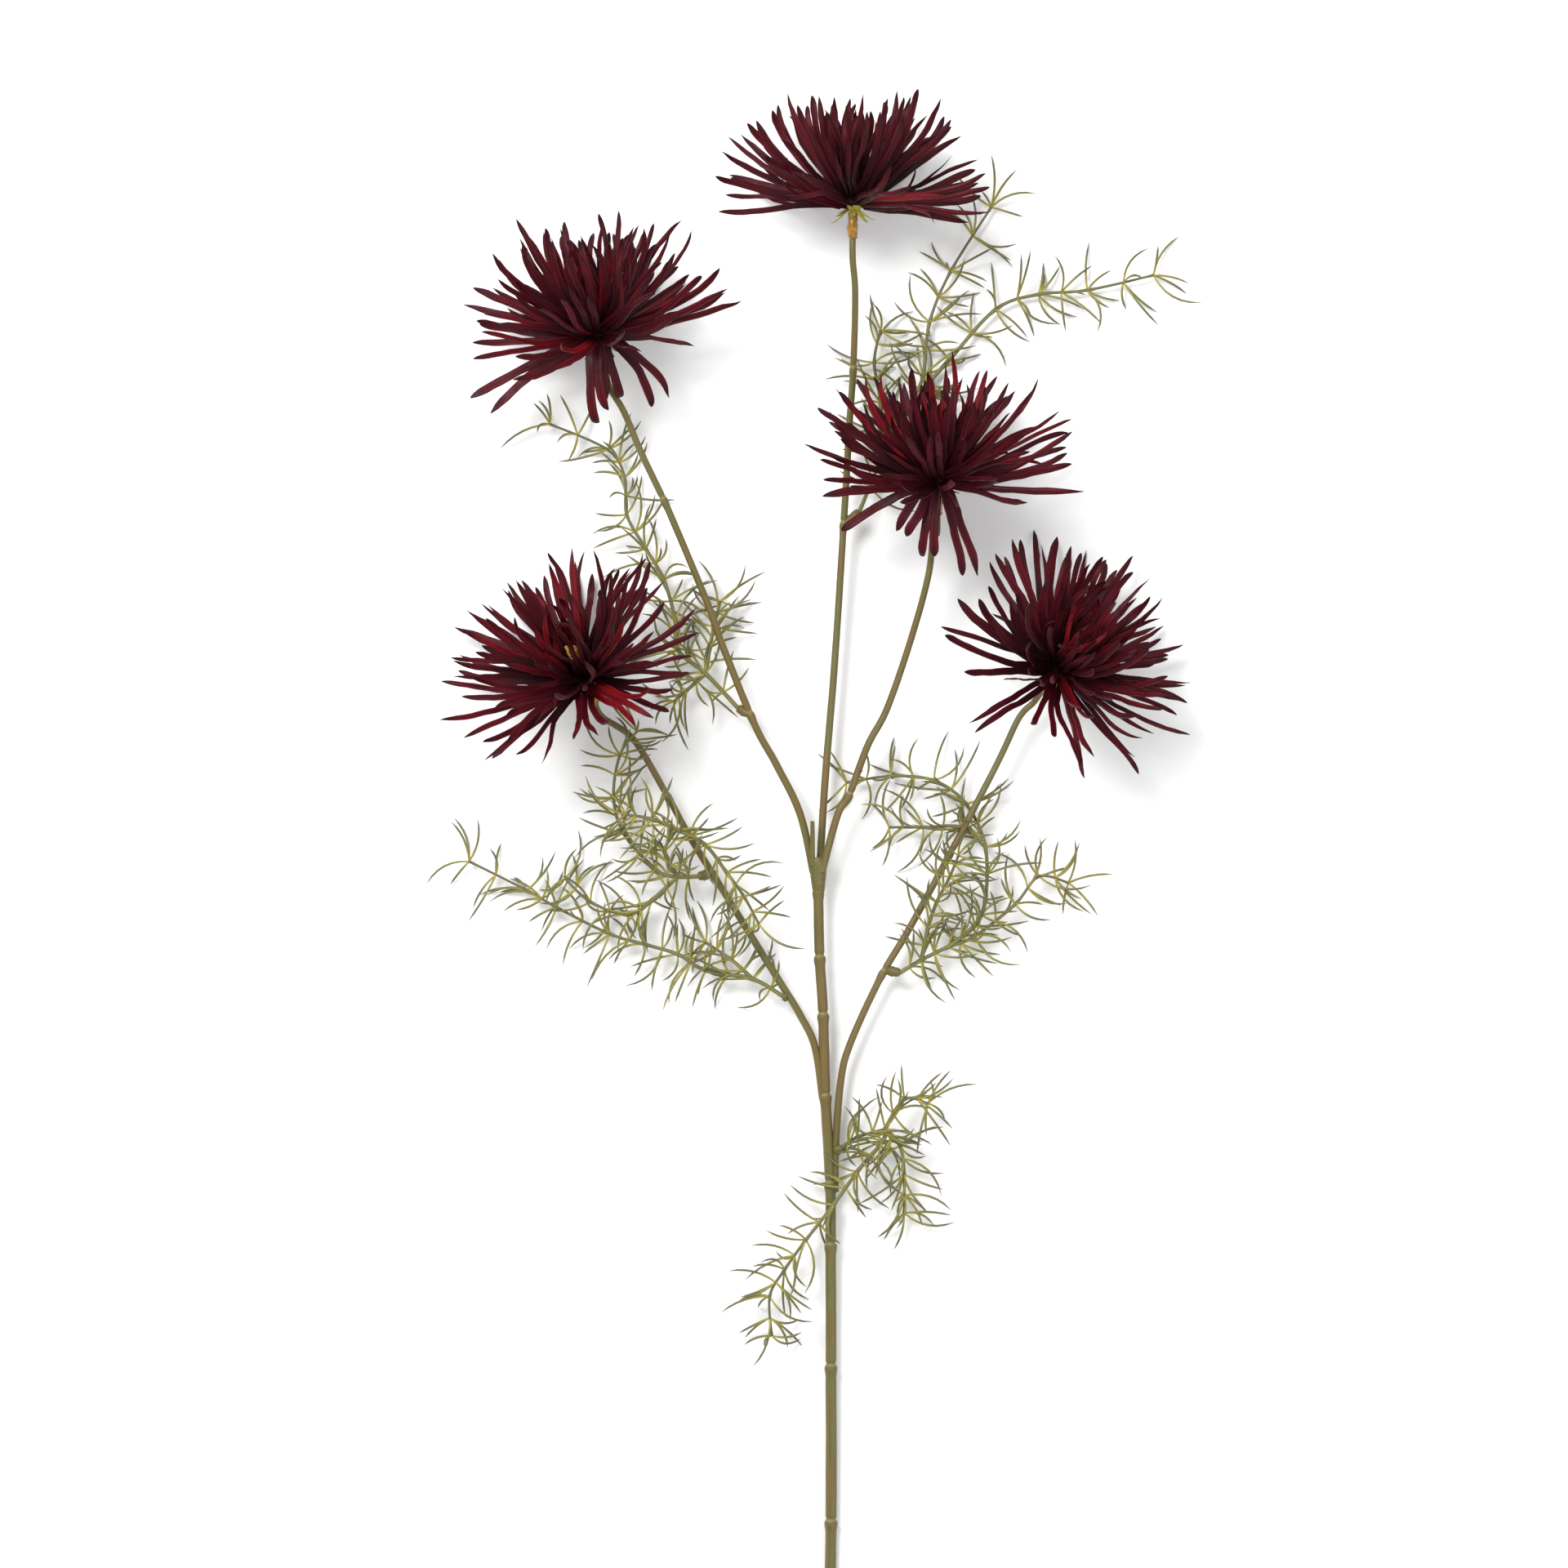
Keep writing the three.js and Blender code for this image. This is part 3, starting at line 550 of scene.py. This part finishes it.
def sprig_material():
    """Soft moulded polyethylene: yellow-green where the needles spring from the tuft, olive
    along them, and dull purplish-brown at the tips."""
    material, tree, shader = new_material("moulded_polyethylene_fern", Roughness=0.5, IOR=1.51)
    body = ramp(tree, attribute(tree, "share"), [
        (0.0, "#b0a034"), (0.2, "#8f8838"), (0.55, "#6c6b38"), (0.85, "#5e5c42"), (1.0, "#5f544a"),
    ])
    yellowed = between(tree, attribute(tree, "tone"), 0.5, 1.0, 0.0, 0.6)
    tinted = blend_colours(tree, yellowed, body, linear("#9a9038"))
    lines = between(tree, streaks(tree, 5.0, 4.0), 0.4, 0.7, 0.0, 0.4)
    lined = blend_colours(tree, lines, tinted, linear("#4e4d28"))
    tree.links.new(lined, shader.inputs["Base Color"])
    bump(tree, shader, streaks(tree, 8.0, 12.0), 0.12, 0.5)
    return material


def sepal_material():
    """Thin moulded polyethylene leaflets: matt yellow-green, browner at the tips."""
    material, tree, shader = new_material("moulded_polyethylene_sepal", Roughness=0.55, IOR=1.51)
    body = ramp(tree, attribute(tree, "share"), [
        (0.0, "#9c9338"), (0.6, "#b5aa48"), (1.0, "#7d6a30"),
    ])
    lines = between(tree, streaks(tree, 9.0, 3.0), 0.4, 0.7, 0.0, 0.5)
    tree.links.new(blend_colours(tree, lines, body, linear("#83802f")), shader.inputs["Base Color"])
    bump(tree, shader, streaks(tree, 12.0, 6.0), 0.15, 0.5)
    return material


def collar_material():
    """Hot-melt glue set round the stem's end: ochre, glossy and slightly cloudy."""
    material, tree, shader = new_material(
        "set_hot_melt_glue", Roughness=0.28, IOR=1.48,
        Subsurface_Weight=0.15, Subsurface_Scale=0.002,
    )
    cloud = between(tree, grain(tree, 2.5), 0.35, 0.65)
    amber = blend_colours(tree, cloud, linear("#7e5a1a"), linear("#a87c2c"))
    tree.links.new(amber, shader.inputs["Base Color"])
    bump(tree, shader, grain(tree, 1.6), 0.3, 0.5)
    return material


def stamen_material():
    """Flocked granules: dull golden yellow, mottled browner in patches."""
    material, tree, shader = new_material(
        "flocked_granules", Roughness=0.85, IOR=1.45, Sheen_Weight=0.2,
    )
    mottled = between(tree, grain(tree, 1.4), 0.35, 0.65)
    golden = blend_colours(tree, mottled, linear("#8a6418"), linear("#d0a62c"))
    tree.links.new(golden, shader.inputs["Base Color"])
    bump(tree, shader, grain(tree, 0.4), 0.1, 0.5)
    return material


PETAL = petal_material()
STEM_SKIN = stem_material()
FERN = sprig_material()
SEPAL = sepal_material()
GLUE = collar_material()
STAMEN = stamen_material()


# ---------- blooms ----------

def bloom_axes(bloom):
    heading = math.radians(bloom["heading"])
    tilt = math.radians(bloom["tilt"])
    flat = math.cos(tilt)
    axis = Vector((flat * math.cos(heading), flat * math.sin(heading), math.sin(tilt)))
    right = axis.cross(UP).normalized()
    return axis, right, right.cross(axis)


def petal_shape(number, level, k):
    """How one petal leans and lies, drawn as in the construction."""
    bloom = BLOOMS[number]
    whorl = WHORLS[level]
    seed = (number + 1) * 10 + level

    def chance(n):
        return scatter(seed, k * 10 + n)

    if k >= whorl["count"]:
        azimuth, elevation, curl, length = bloom["hanging"][k - whorl["count"]]
        return azimuth, elevation, curl, length, 0, 50 * (chance(6) - 0.5)
    turn = k + 0.5 * (level % 2) + 0.5 * (chance(1) - 0.5)
    return (
        360 * turn / whorl["count"],
        whorl["elevation"] + whorl["spread"] * (chance(2) - 0.5),
        whorl["curl"] + 16 * (chance(4) - 0.5),
        whorl["length"] * (1 - 0.2 * chance(3)),
        30 * (chance(5) - 0.5),
        90 * (chance(6) - 0.5),
    )


def petal_line(number, level, k):
    """A petal's centre line, as points with their along, side and face directions."""
    bloom = BLOOMS[number]
    axis, right, up = bloom_axes(bloom)
    azimuth0, elevation0, curl, length, sway, roll0 = petal_shape(number, level, k)
    floor = bloom["floor"] + LOWEST + LAYER * level
    step = length / PETAL_STEPS
    point = None
    line = []
    for i in range(PETAL_STEPS + 1):
        share = i / PETAL_STEPS
        azimuth = math.radians(azimuth0 + sway * share)
        elevation = math.radians(elevation0 + curl * share ** 1.5 * 2)
        outward = right * math.cos(azimuth) + up * math.sin(azimuth)
        along = outward * math.cos(elevation) + axis * math.sin(elevation)
        flat_side = axis.cross(outward)
        roll = math.radians(roll0 * min(1, share * 3))
        side = flat_side * math.cos(roll) + flat_side.cross(along) * math.sin(roll)
        if point is None:
            height = level * (HUB + GAP) + HUB / 2
            point = Vector(bloom["at"]) + outward * (WHORLS[level]["hub"] - 1.1) + axis * height
        else:
            following = point + along * step
            if following.z < floor:
                flat = Vector((along.x, along.y, 0)).normalized()
                following = point + flat * step
                following.z = max(floor, point.z - step)
                side.z *= 0.1
                if side.length < 0.2:
                    side = flat.cross(UP)
            point = following
        side.normalize()
        line.append((point.copy(), along, side, side.cross(along).normalized()))
    return line


def finger_width(share, blunt):
    """Half the width of a finger, as a part of its widest: blunt or drawn out at the tip."""
    swell = min(1, 0.78 + 1.1 * share)
    start = mix(0.62, 0.9, blunt)
    if share < start:
        return swell
    rest = (share - start) / (1 - start)
    return max(0.1, (1 - rest ** mix(1.5, 2.4, blunt)) ** mix(1.0, 0.6, blunt))


# Where along a finger its sections stand: evenly, then closer together at the tip.
FINGER_STATIONS = [i / 12 for i in range(10)] + [0.81, 0.87, 0.92, 0.96, 0.985, 1]


def on_line(line, share):
    """The point and directions at a share of a petal's centre line."""
    place = share * (len(line) - 1)
    i = min(int(place), len(line) - 2)
    part = place - i
    return [first.lerp(second, part) for first, second in zip(line[i], line[i + 1])]


def lying(wide, along, sign):
    """A blade's width direction, laid half way down towards the surface."""
    flat = along.cross(UP) * sign
    share = 0.5 * min(1, flat.length / 0.5) ** 2
    return wide.lerp(flat.normalized(), share).normalized()


def fingers(number, level, k):
    """The fingers of one petal: side by side as one strap, then parting towards the tips."""
    line = petal_line(number, level, k)
    seed = (number + 1) * 100 + level * 10
    azimuth = math.radians(petal_shape(number, level, k)[0])

    def chance(n):
        return scatter(seed, k * 30 + n)

    count = 3 if chance(0) > 0.7 - 0.16 * level else 2
    split = mix(0.28, 0.6, chance(1))
    tone = 0.9 * chance(2) ** 1.15
    if chance(3) > 0.92:
        tone = 0.98
    width = FINGER_WIDTH * mix(0.86, 1.14, chance(4)) * (0.88 if count == 3 else 1)
    # Petals at the sides of the head stand more on edge than those in front and behind.
    turn = math.radians(58 * abs(math.cos(azimuth)) + 34 * (chance(5) - 0.5))
    if k >= WHORLS[level]["count"]:
        count = 2
        width = FINGER_WIDTH * 1.35
        tone = 0.3 + 0.4 * chance(2)
    length = (line[-1][0] - line[0][0]).length
    middle = on_line(line, 0.5)[2] * math.cos(turn) + on_line(line, 0.5)[3] * math.sin(turn)
    spines = []
    for j in range(count):
        place = j - (count - 1) / 2

        def own(n, j=j):
            return scatter(seed + j + 1, k * 30 + n)

        reach = mix(0.8, 1.0, own(6))
        lift = 0.34 * (own(7) - 0.5)
        spread = math.tan(math.radians(place * mix(5, 19, own(5))))
        hook = 15 * (own(8) - 0.5)
        sway = 4.5 * (own(9) - 0.5)
        wave = 2 * math.pi * own(10)
        blunt = own(11) ** 0.5
        shade = min(1, max(0, tone + 0.16 * (own(12) - 0.5)))
        sign = 1 if middle.dot(on_line(line, 0.5)[1].cross(UP)) > 0 else -1
        spine = []
        for share in FINGER_STATIONS:
            point, along, side, face = on_line(line, share)
            wide = lying(side * math.cos(turn) + face * math.sin(turn), along, sign)
            across = wide.cross(along).normalized()
            beyond = max(0, share - split)
            half = finger_width(share, blunt) * width / 2
            offset = wide * (place * width / 2 * 1.8 + spread * beyond * length)
            offset += wide * (sway * share * math.sin(5.2 * share + wave))
            offset += across * (lift * beyond * length + hook * max(0, share - 0.72) ** 2 * 9)
            offset += along * ((reach - 1) * share * length)
            centre = point + offset
            centre.z = max(centre.z, 0.9)
            spine.append((centre, max(half, 0.12), wide, shade, share))
        spines.append(spine)
    return spines


def petals(number, level):
    """One whorl of petals of one bloom."""
    hanging = len(BLOOMS[number]["hanging"]) if level == 0 else 0
    spines = []
    for k in range(WHORLS[level]["count"] + hanging):
        spines.extend(fingers(number, level, k))
    name = f"bloom_{number + 1}_{WHORLS[level]['name']}_petals"
    cup = 0.34 + 0.08 * level
    piece = sweep(
        name + "_satin", spines, PETAL, 8, thickness=0.27, cup=cup, ripple=1.4, waves=110.0,
    )
    return piece, name


def turned(name, number, rows, sides, material, lumps=0.0):
    """A closed body of revolution about a bloom's axis, with a slightly lumpy skin."""
    axis, right, up = bloom_axes(BLOOMS[number])
    base = Vector(BLOOMS[number]["at"])
    points = []
    faces = []
    for radius, height in rows:
        for k in range(sides):
            turn = 2 * math.pi * k / sides
            outward = right * math.cos(turn) + up * math.sin(turn)
            point = base + axis * height + outward * radius
            points.append(point + outward * lumps * noise.noise(point * 0.55))
    for i in range(len(rows) - 1):
        for k in range(sides):
            a = i * sides + k
            b = i * sides + (k + 1) % sides
            faces.append((a, a + sides, b + sides, b))
    faces.append(tuple(range(sides)))
    faces.append(tuple(reversed(range((len(rows) - 1) * sides, len(rows) * sides))))
    mesh = bpy.data.meshes.new(name)
    mesh.from_pydata([point * MM + OFFSET for point in points], [], faces)
    mesh.materials.append(material)
    mesh.shade_smooth()
    mesh.validate()
    piece = bpy.data.objects.new(name, mesh)
    bpy.context.scene.collection.objects.link(piece)
    return piece


HUB_TOP = len(WHORLS) * (HUB + GAP)
COLLAR_TOP = -2 * GAP - CALYX["depth"]


def rows_between(low, high, radius_at, count):
    """Rows of a turned body, evenly spaced in height, with closed ends."""
    rows = [(radius_at(0) * 0.55, low)]
    rows += [(radius_at(i / count), mix(low, high, i / count)) for i in range(count + 1)]
    rows.append((radius_at(1) * 0.55, high))
    return rows


def receptacle(number):
    """The button that the petals are set in."""
    def radius(share):
        return mix(RECEPTACLE["foot"], RECEPTACLE["top"], share) - 0.5 * (2 * share - 1) ** 6
    rows = rows_between(-0.2, HUB_TOP, radius, 8)
    return turned(f"bloom_{number + 1}_receptacle", number, rows, 20, PETAL)


def stamens(number):
    """Granules packed over the plug, in a spiral from its foot to its domed top."""
    axis, right, up = bloom_axes(BLOOMS[number])
    base = Vector(BLOOMS[number]["at"]) + axis * HUB_TOP
    points = []
    for i in range(GRANULES):
        share = (i + 0.5) / GRANULES
        dome = max(0, (share - 0.62) / 0.38)
        radius = PLUG["radius"] * math.sqrt(max(0, 1 - dome ** 2)) * mix(0.8, 1, min(1, share * 3))
        rise = share if share < 0.62 else 0.62 + 0.34 * math.sin(dome * math.pi / 2)
        height = PLUG["height"] * rise
        turn = i * 2.39996
        point = base + axis * height
        point += (right * math.cos(turn) + up * math.sin(turn)) * (radius - 0.45)
        points.append(point * MM + OFFSET)
    mesh = bpy.data.meshes.new("granule_points")
    mesh.from_pydata(points, [], [])
    name = f"bloom_{number + 1}_stamens"
    beads = run_tree(name + "_granules", mesh, BEADS, {
        "Bead Radius": 0.62 * MM, "Seed": number, "Material": STAMEN,
    })

    def core_radius(share):
        return (PLUG["radius"] - 0.55) * math.sqrt(max(0.02, 1 - max(0, share - 0.55) ** 2 * 4.6))
    rows = rows_between(HUB_TOP, HUB_TOP + PLUG["height"] * 0.93, core_radius, 9)
    core = turned(name + "_core", number, rows, 16, STAMEN)
    return beads, core


def calyx(number):
    """Pointed sepals round a small cup."""
    axis, right, up = bloom_axes(BLOOMS[number])
    root = Vector(BLOOMS[number]["at"]) - axis * (GAP + CALYX["depth"] / 2)
    spines = []
    for k in range(CALYX["sepals"]):
        own = scatter(number + 40, k)
        azimuth = 2 * math.pi * (k + 0.4 * scatter(number, k)) / CALYX["sepals"]
        outward = right * math.cos(azimuth) + up * math.sin(azimuth)
        spine = []
        for i in range(8):
            share = i / 7
            droop = math.radians(mix(-34, -72, own) + 24 * share)
            along = outward * math.cos(droop) + axis * math.sin(droop)
            point = root + outward * 2.6 + along * (share * CALYX["length"] * mix(0.8, 1.1, own))
            half = CALYX["width"] / 2 * max(0.05, math.sin(math.pi * (0.2 + 0.8 * share)) ** 0.8)
            point.z = max(point.z, 0.5)
            spine.append((point, half, axis.cross(outward).normalized(), own, share))
        spines.append(spine)
    name = f"bloom_{number + 1}_calyx"
    leaves = sweep(
        name + "_sepals", spines, SEPAL, 8, thickness=0.22, cup=0.25, ripple=0.4, waves=120.0,
    )

    def radius(share):
        return mix(COLLAR["top"] + 0.1, CALYX["rim"], share ** 0.8)
    rows = rows_between(-GAP - CALYX["depth"], -GAP, radius, 6)
    return leaves, turned(name + "_cup", number, rows, 18, SEPAL, lumps=0.25)


def collar(number):
    """Glue that has run and set round the stem's end."""
    def radius(share):
        bulge = math.exp(-((share - 0.35) / 0.28) ** 2)
        return mix(COLLAR["foot"], COLLAR["top"], share) + 0.45 * bulge
    rows = rows_between(COLLAR_TOP - COLLAR["length"], COLLAR_TOP, radius, 16)
    return turned(f"bloom_{number + 1}_collar_glue", number, rows, 18, GLUE, lumps=0.55)


# ---------- stems ----------

def raised(route, heights, first, last):
    result = []
    for x, y in route:
        share = ((y - first) / (last - first)) ** heights["bend"]
        result.append(Vector((x, y, mix(heights["from"], heights["to"], share))))
    return result


def branch_line(number):
    branch = BRANCHES[number]
    axis, _, _ = bloom_axes(BLOOMS[number])
    end = Vector(BLOOMS[number]["at"]) + axis * (COLLAR_TOP - COLLAR["length"] - GAP)
    neck = end - axis * 9
    first = branch["route"][0][1]
    share = (neck.y - first) / (end.y - first)
    to = branch["from"] + (neck.z - branch["from"]) / share ** branch["bend"]
    points = raised(branch["route"], {**branch, "to": to}, first, end.y)
    return smooth(points + [neck, end + axis * 1.5], 14)


def joint_swell(y, nodes):
    """How much a stem stands out at a joint: a soft ring with a fine groove above it."""
    swell = 0
    for node in nodes:
        swell += 0.2 * math.exp(-((y - node + 1.0) / 2.2) ** 2)
        swell -= 0.24 * math.exp(-((y - node - 1.4) / 0.7) ** 2)
    return swell


def stem_spine(line, nodes, root, tip):
    first = line[0].y
    last = line[-1].y
    spine = []
    for i, point in enumerate(line):
        share = (point.y - first) / (last - first)
        swell = joint_swell(point.y, nodes)
        radius = mix(root, tip, share) * (1 + swell)
        facing = Vector((0.3, 0, 1))
        near = max([math.exp(-((point.y - node - 0.9) / 0.8) ** 2) for node in nodes] + [0])
        spine.append((point, radius, facing, near, share))
    return spine


def densify(line, spacing):
    """The same line with a point at least every so many millimetres."""
    result = [line[0]]
    for point in line[1:]:
        span = point - result[-1]
        pieces = max(1, math.ceil(span.length / spacing))
        start = result[-1]
        for k in range(1, pieces + 1):
            result.append(start + span * (k / pieces))
    return result


def socket_spines(name, line):
    """Short swollen sockets that the sprigs plug into."""
    spines = []
    for (x, y), mouth in SOCKETS.get(name, []):
        near = min(line, key=lambda point: math.hypot(point.x - x, point.y - y))
        root = Vector((x, y, near.z))
        span = Vector(mouth) - root
        spines.append([(root + span * s, radius, UP, 0.15, s) for s, radius in SOCKET_SHAPE])
    return spines


def main_stem():
    points = raised(MAIN["route"], MAIN, 0, MAIN["route"][-1][1])
    line = densify(smooth(points, 12), 0.8)
    spines = [stem_spine(line, MAIN["nodes"], STEM["butt"], STEM["top"])]
    top = line[-1]
    sleeve = []
    for share in (0, 0.15, 0.35, 0.6, 0.85, 0.96, 1):
        back = 1 - share
        centre = Vector((mix(-5.1, -5.4, share), top.y - 17 * back, top.z - 0.6 * back))
        radius = mix(2.5, 4.2, min(1, share * 1.3) ** 0.7) - (0.5 if share == 1 else 0)
        sleeve.append((centre, radius, UP, 0.25, share))
    spines.append(sleeve)
    stub = [Vector((-8, top.y - 4, top.z + 2.2)), Vector((-8, top.y + 17, top.z + 7))]
    spines.append([
        (stub[0].lerp(stub[1], s), mix(1.3, 0.95, s), UP, 0.1, s) for s in (0, 0.3, 0.6, 0.97, 1)
    ])
    spines.extend(socket_spines("main_stem", line))
    return sweep("main_stem_moulding", spines, STEM_SKIN, 20, ripple=0.25, waves=50.0)


def branch(number):
    line = densify(branch_line(number), 1.0)
    spines = [stem_spine(line, BRANCHES[number]["nodes"], BRANCH["root"], BRANCH["head"])]
    name = f"branch_{number + 1}"
    spines.extend(socket_spines(name, line))
    return sweep(name + "_moulding", spines, STEM_SKIN, 14, ripple=0.2, waves=60.0)


# ---------- fern sprigs ----------

def needle_spine(start, end, tone, seed):
    """One needle, bowed a little to one side and pointed."""
    span = end - start
    across = span.cross(UP).normalized()
    bow = across * (span.length * 0.34 * (scatter(seed, 3) - 0.5))
    bow += UP * (span.length * 0.16 * (scatter(seed, 4) - 0.2))
    spine = []
    for i in range(7):
        share = i / 6
        point = start + span * share + bow * (4 * share * (1 - share))
        point.z = max(point.z, 0.55)
        half = NEEDLE["width"] / 2 * (0.85 + 0.2 * math.sin(math.pi * share))
        half *= 1 if share < 0.8 else 1 - ((share - 0.8) / 0.2) ** 2 * 0.75
        spine.append((point, half, across, tone, share))
    return spine


def tuft(seed, index, point, along):
    """Needles that spread from one point of a wire. The first two lie as in the construction."""
    sideways = along.cross(UP).normalized()
    upward = sideways.cross(along)
    spines = []
    count = 4 + int(scatter(seed, index * 7 + 1) * 3)
    for k in range(count):
        def chance(n, k=k):
            return scatter(seed, index * 40 + k * 5 + n)
        scatter_share = 0.9 * (chance(2) - 0.5) * (1 if k < 2 else 2.2)
        turn = math.pi * (k + 0.5 * (chance(1) - 0.5)) + scatter_share
        spread = math.radians(mix(28, 98, chance(3)))
        length = mix(NEEDLE["shortest"], NEEDLE["longest"], chance(4))
        away = sideways * math.cos(turn) + upward * math.sin(turn)
        end = point + along * (length * math.cos(spread)) + away * (length * math.sin(spread))
        end.z = max(end.z, 0.8)
        tone = scatter(seed + 5, index) * 0.6 + 0.4 * chance(1)
        spines.append(needle_spine(point, end, tone, seed + index * 9 + k))
    return spines


def sprig(name, seed):
    """A wiry sprig: its wires as one piece and its needles as another."""
    wires = []
    needles = []
    index = 0
    for (z0, z1), route in SPRIGS[name]:
        last = len(route) - 1
        line = [Vector((x, y, mix(z0, z1, i / last))) for i, (x, y) in enumerate(route)]
        curve = smooth(line, 6)
        curve[0] += (curve[0] - curve[1]).normalized() * 0.7
        wire = []
        for i, point in enumerate(curve):
            share = i / (len(curve) - 1)
            knot = 0.22 if i % 6 == 0 and i > 0 else 0
            radius = mix(WIRE["root"], WIRE["tip"], share) + knot
            wire.append((point, radius, UP, 0.5, 0.45 + 0.4 * share))
        wires.append(wire)
        for i in range(1, last + 1):
            along = (line[i] - line[i - 1]).normalized()
            needles.extend(tuft(seed, index, line[i], along))
            between_tufts = curve[i * 6 - 3]
            needles.extend(tuft(seed + 20, index, between_tufts, along))
            index += 1
    wire_piece = sweep(name + "_wires", wires, FERN, 8, ripple=0.15, waves=90.0)
    needle_piece = sweep(name + "_needles", needles, FERN, 6, thickness=0.7, cup=0.15)
    return wire_piece, needle_piece


# ---------- placing the pieces ----------

def keep(piece, slot, *nodes):
    """Ride on the spray's body and stand for the given nodes. The slot is not used."""
    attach(piece, "root")
    if nodes:
        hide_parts(*nodes)


keep(main_stem(), "stem", "main_stem")
for number in range(len(BRANCHES)):
    keep(branch(number), "stem", f"branch_{number + 1}")
for number in range(len(BLOOMS)):
    for level in range(len(WHORLS)):
        whorl_piece, node = petals(number, level)
        keep(whorl_piece, "petal", node)
    keep(receptacle(number), "petal")
    granules, core = stamens(number)
    keep(granules, "stamen", f"bloom_{number + 1}_stamens")
    keep(core, "stamen")
    sepals, cup = calyx(number)
    keep(sepals, "sepal", f"bloom_{number + 1}_calyx")
    keep(cup, "sepal")
    keep(collar(number), "collar", f"bloom_{number + 1}_collar")
for index, name in enumerate(SPRIGS):
    wire_piece, needle_piece = sprig(name, 70 + index)
    keep(wire_piece, "sprig", name)
    keep(needle_piece, "sprig")


# ---------- floor, lights and camera ----------

def studio_floor():
    """A plain pale surface."""
    mesh = bpy.data.meshes.new("floor")
    size = 4.0
    corners = [(-size, -size, 0), (size, -size, 0), (size, size, 0), (-size, size, 0)]
    mesh.from_pydata(corners, [], [(0, 1, 2, 3)])
    material, tree, shader = new_material("matt_white_paper", Roughness=0.9, Specular_IOR_Level=0.1)
    paper = between(tree, grain(tree, 60.0), 0.3, 0.7)
    white = blend_colours(tree, paper, linear("#f4f4f4"), linear("#f8f8f8"))
    tree.links.new(white, shader.inputs["Base Color"])
    mesh.materials.append(material)
    floor = bpy.data.objects.new("studio_floor", mesh)
    bpy.context.scene.collection.objects.link(floor)


def area_light(name, place, target, size, power):
    data = bpy.data.lights.new(name, "AREA")
    data.shape = "DISK"
    data.size = size
    data.energy = power
    light = bpy.data.objects.new(name, data)
    light.location = place
    light.rotation_euler = (Vector(target) - Vector(place)).to_track_quat("-Z", "Y").to_euler()
    bpy.context.scene.collection.objects.link(light)


FRAME_WIDTH = 730                # how much of the layout the view takes in, in millimetres
VIEW_CENTRE = Vector((-21.3, 393.3, 0))
VIEW_HEIGHT = 3.2


def studio():
    studio_floor()
    centre = VIEW_CENTRE * MM + OFFSET
    area_light("key", (centre.x - 0.7, centre.y + 0.9, 1.7), centre, 0.8, 38)
    area_light("fill", (centre.x + 1.1, centre.y - 0.6, 1.6), centre, 1.4, 10)
    world = bpy.data.worlds.new("studio")
    world.use_nodes = True
    world.node_tree.nodes["Background"].inputs[0].default_value = (1, 1, 1, 1)
    world.node_tree.nodes["Background"].inputs[1].default_value = 0.7
    bpy.context.scene.world = world
    bpy.context.scene.view_settings.view_transform = "Standard"
    data = bpy.data.cameras.new("camera")
    data.sensor_width = 36
    data.lens = data.sensor_width * (VIEW_HEIGHT - 0.03) / (FRAME_WIDTH * MM)
    data.clip_end = 20
    camera = bpy.data.objects.new("camera", data)
    camera.location = (centre.x, centre.y, VIEW_HEIGHT)
    bpy.context.scene.collection.objects.link(camera)
    bpy.context.scene.camera = camera


studio()
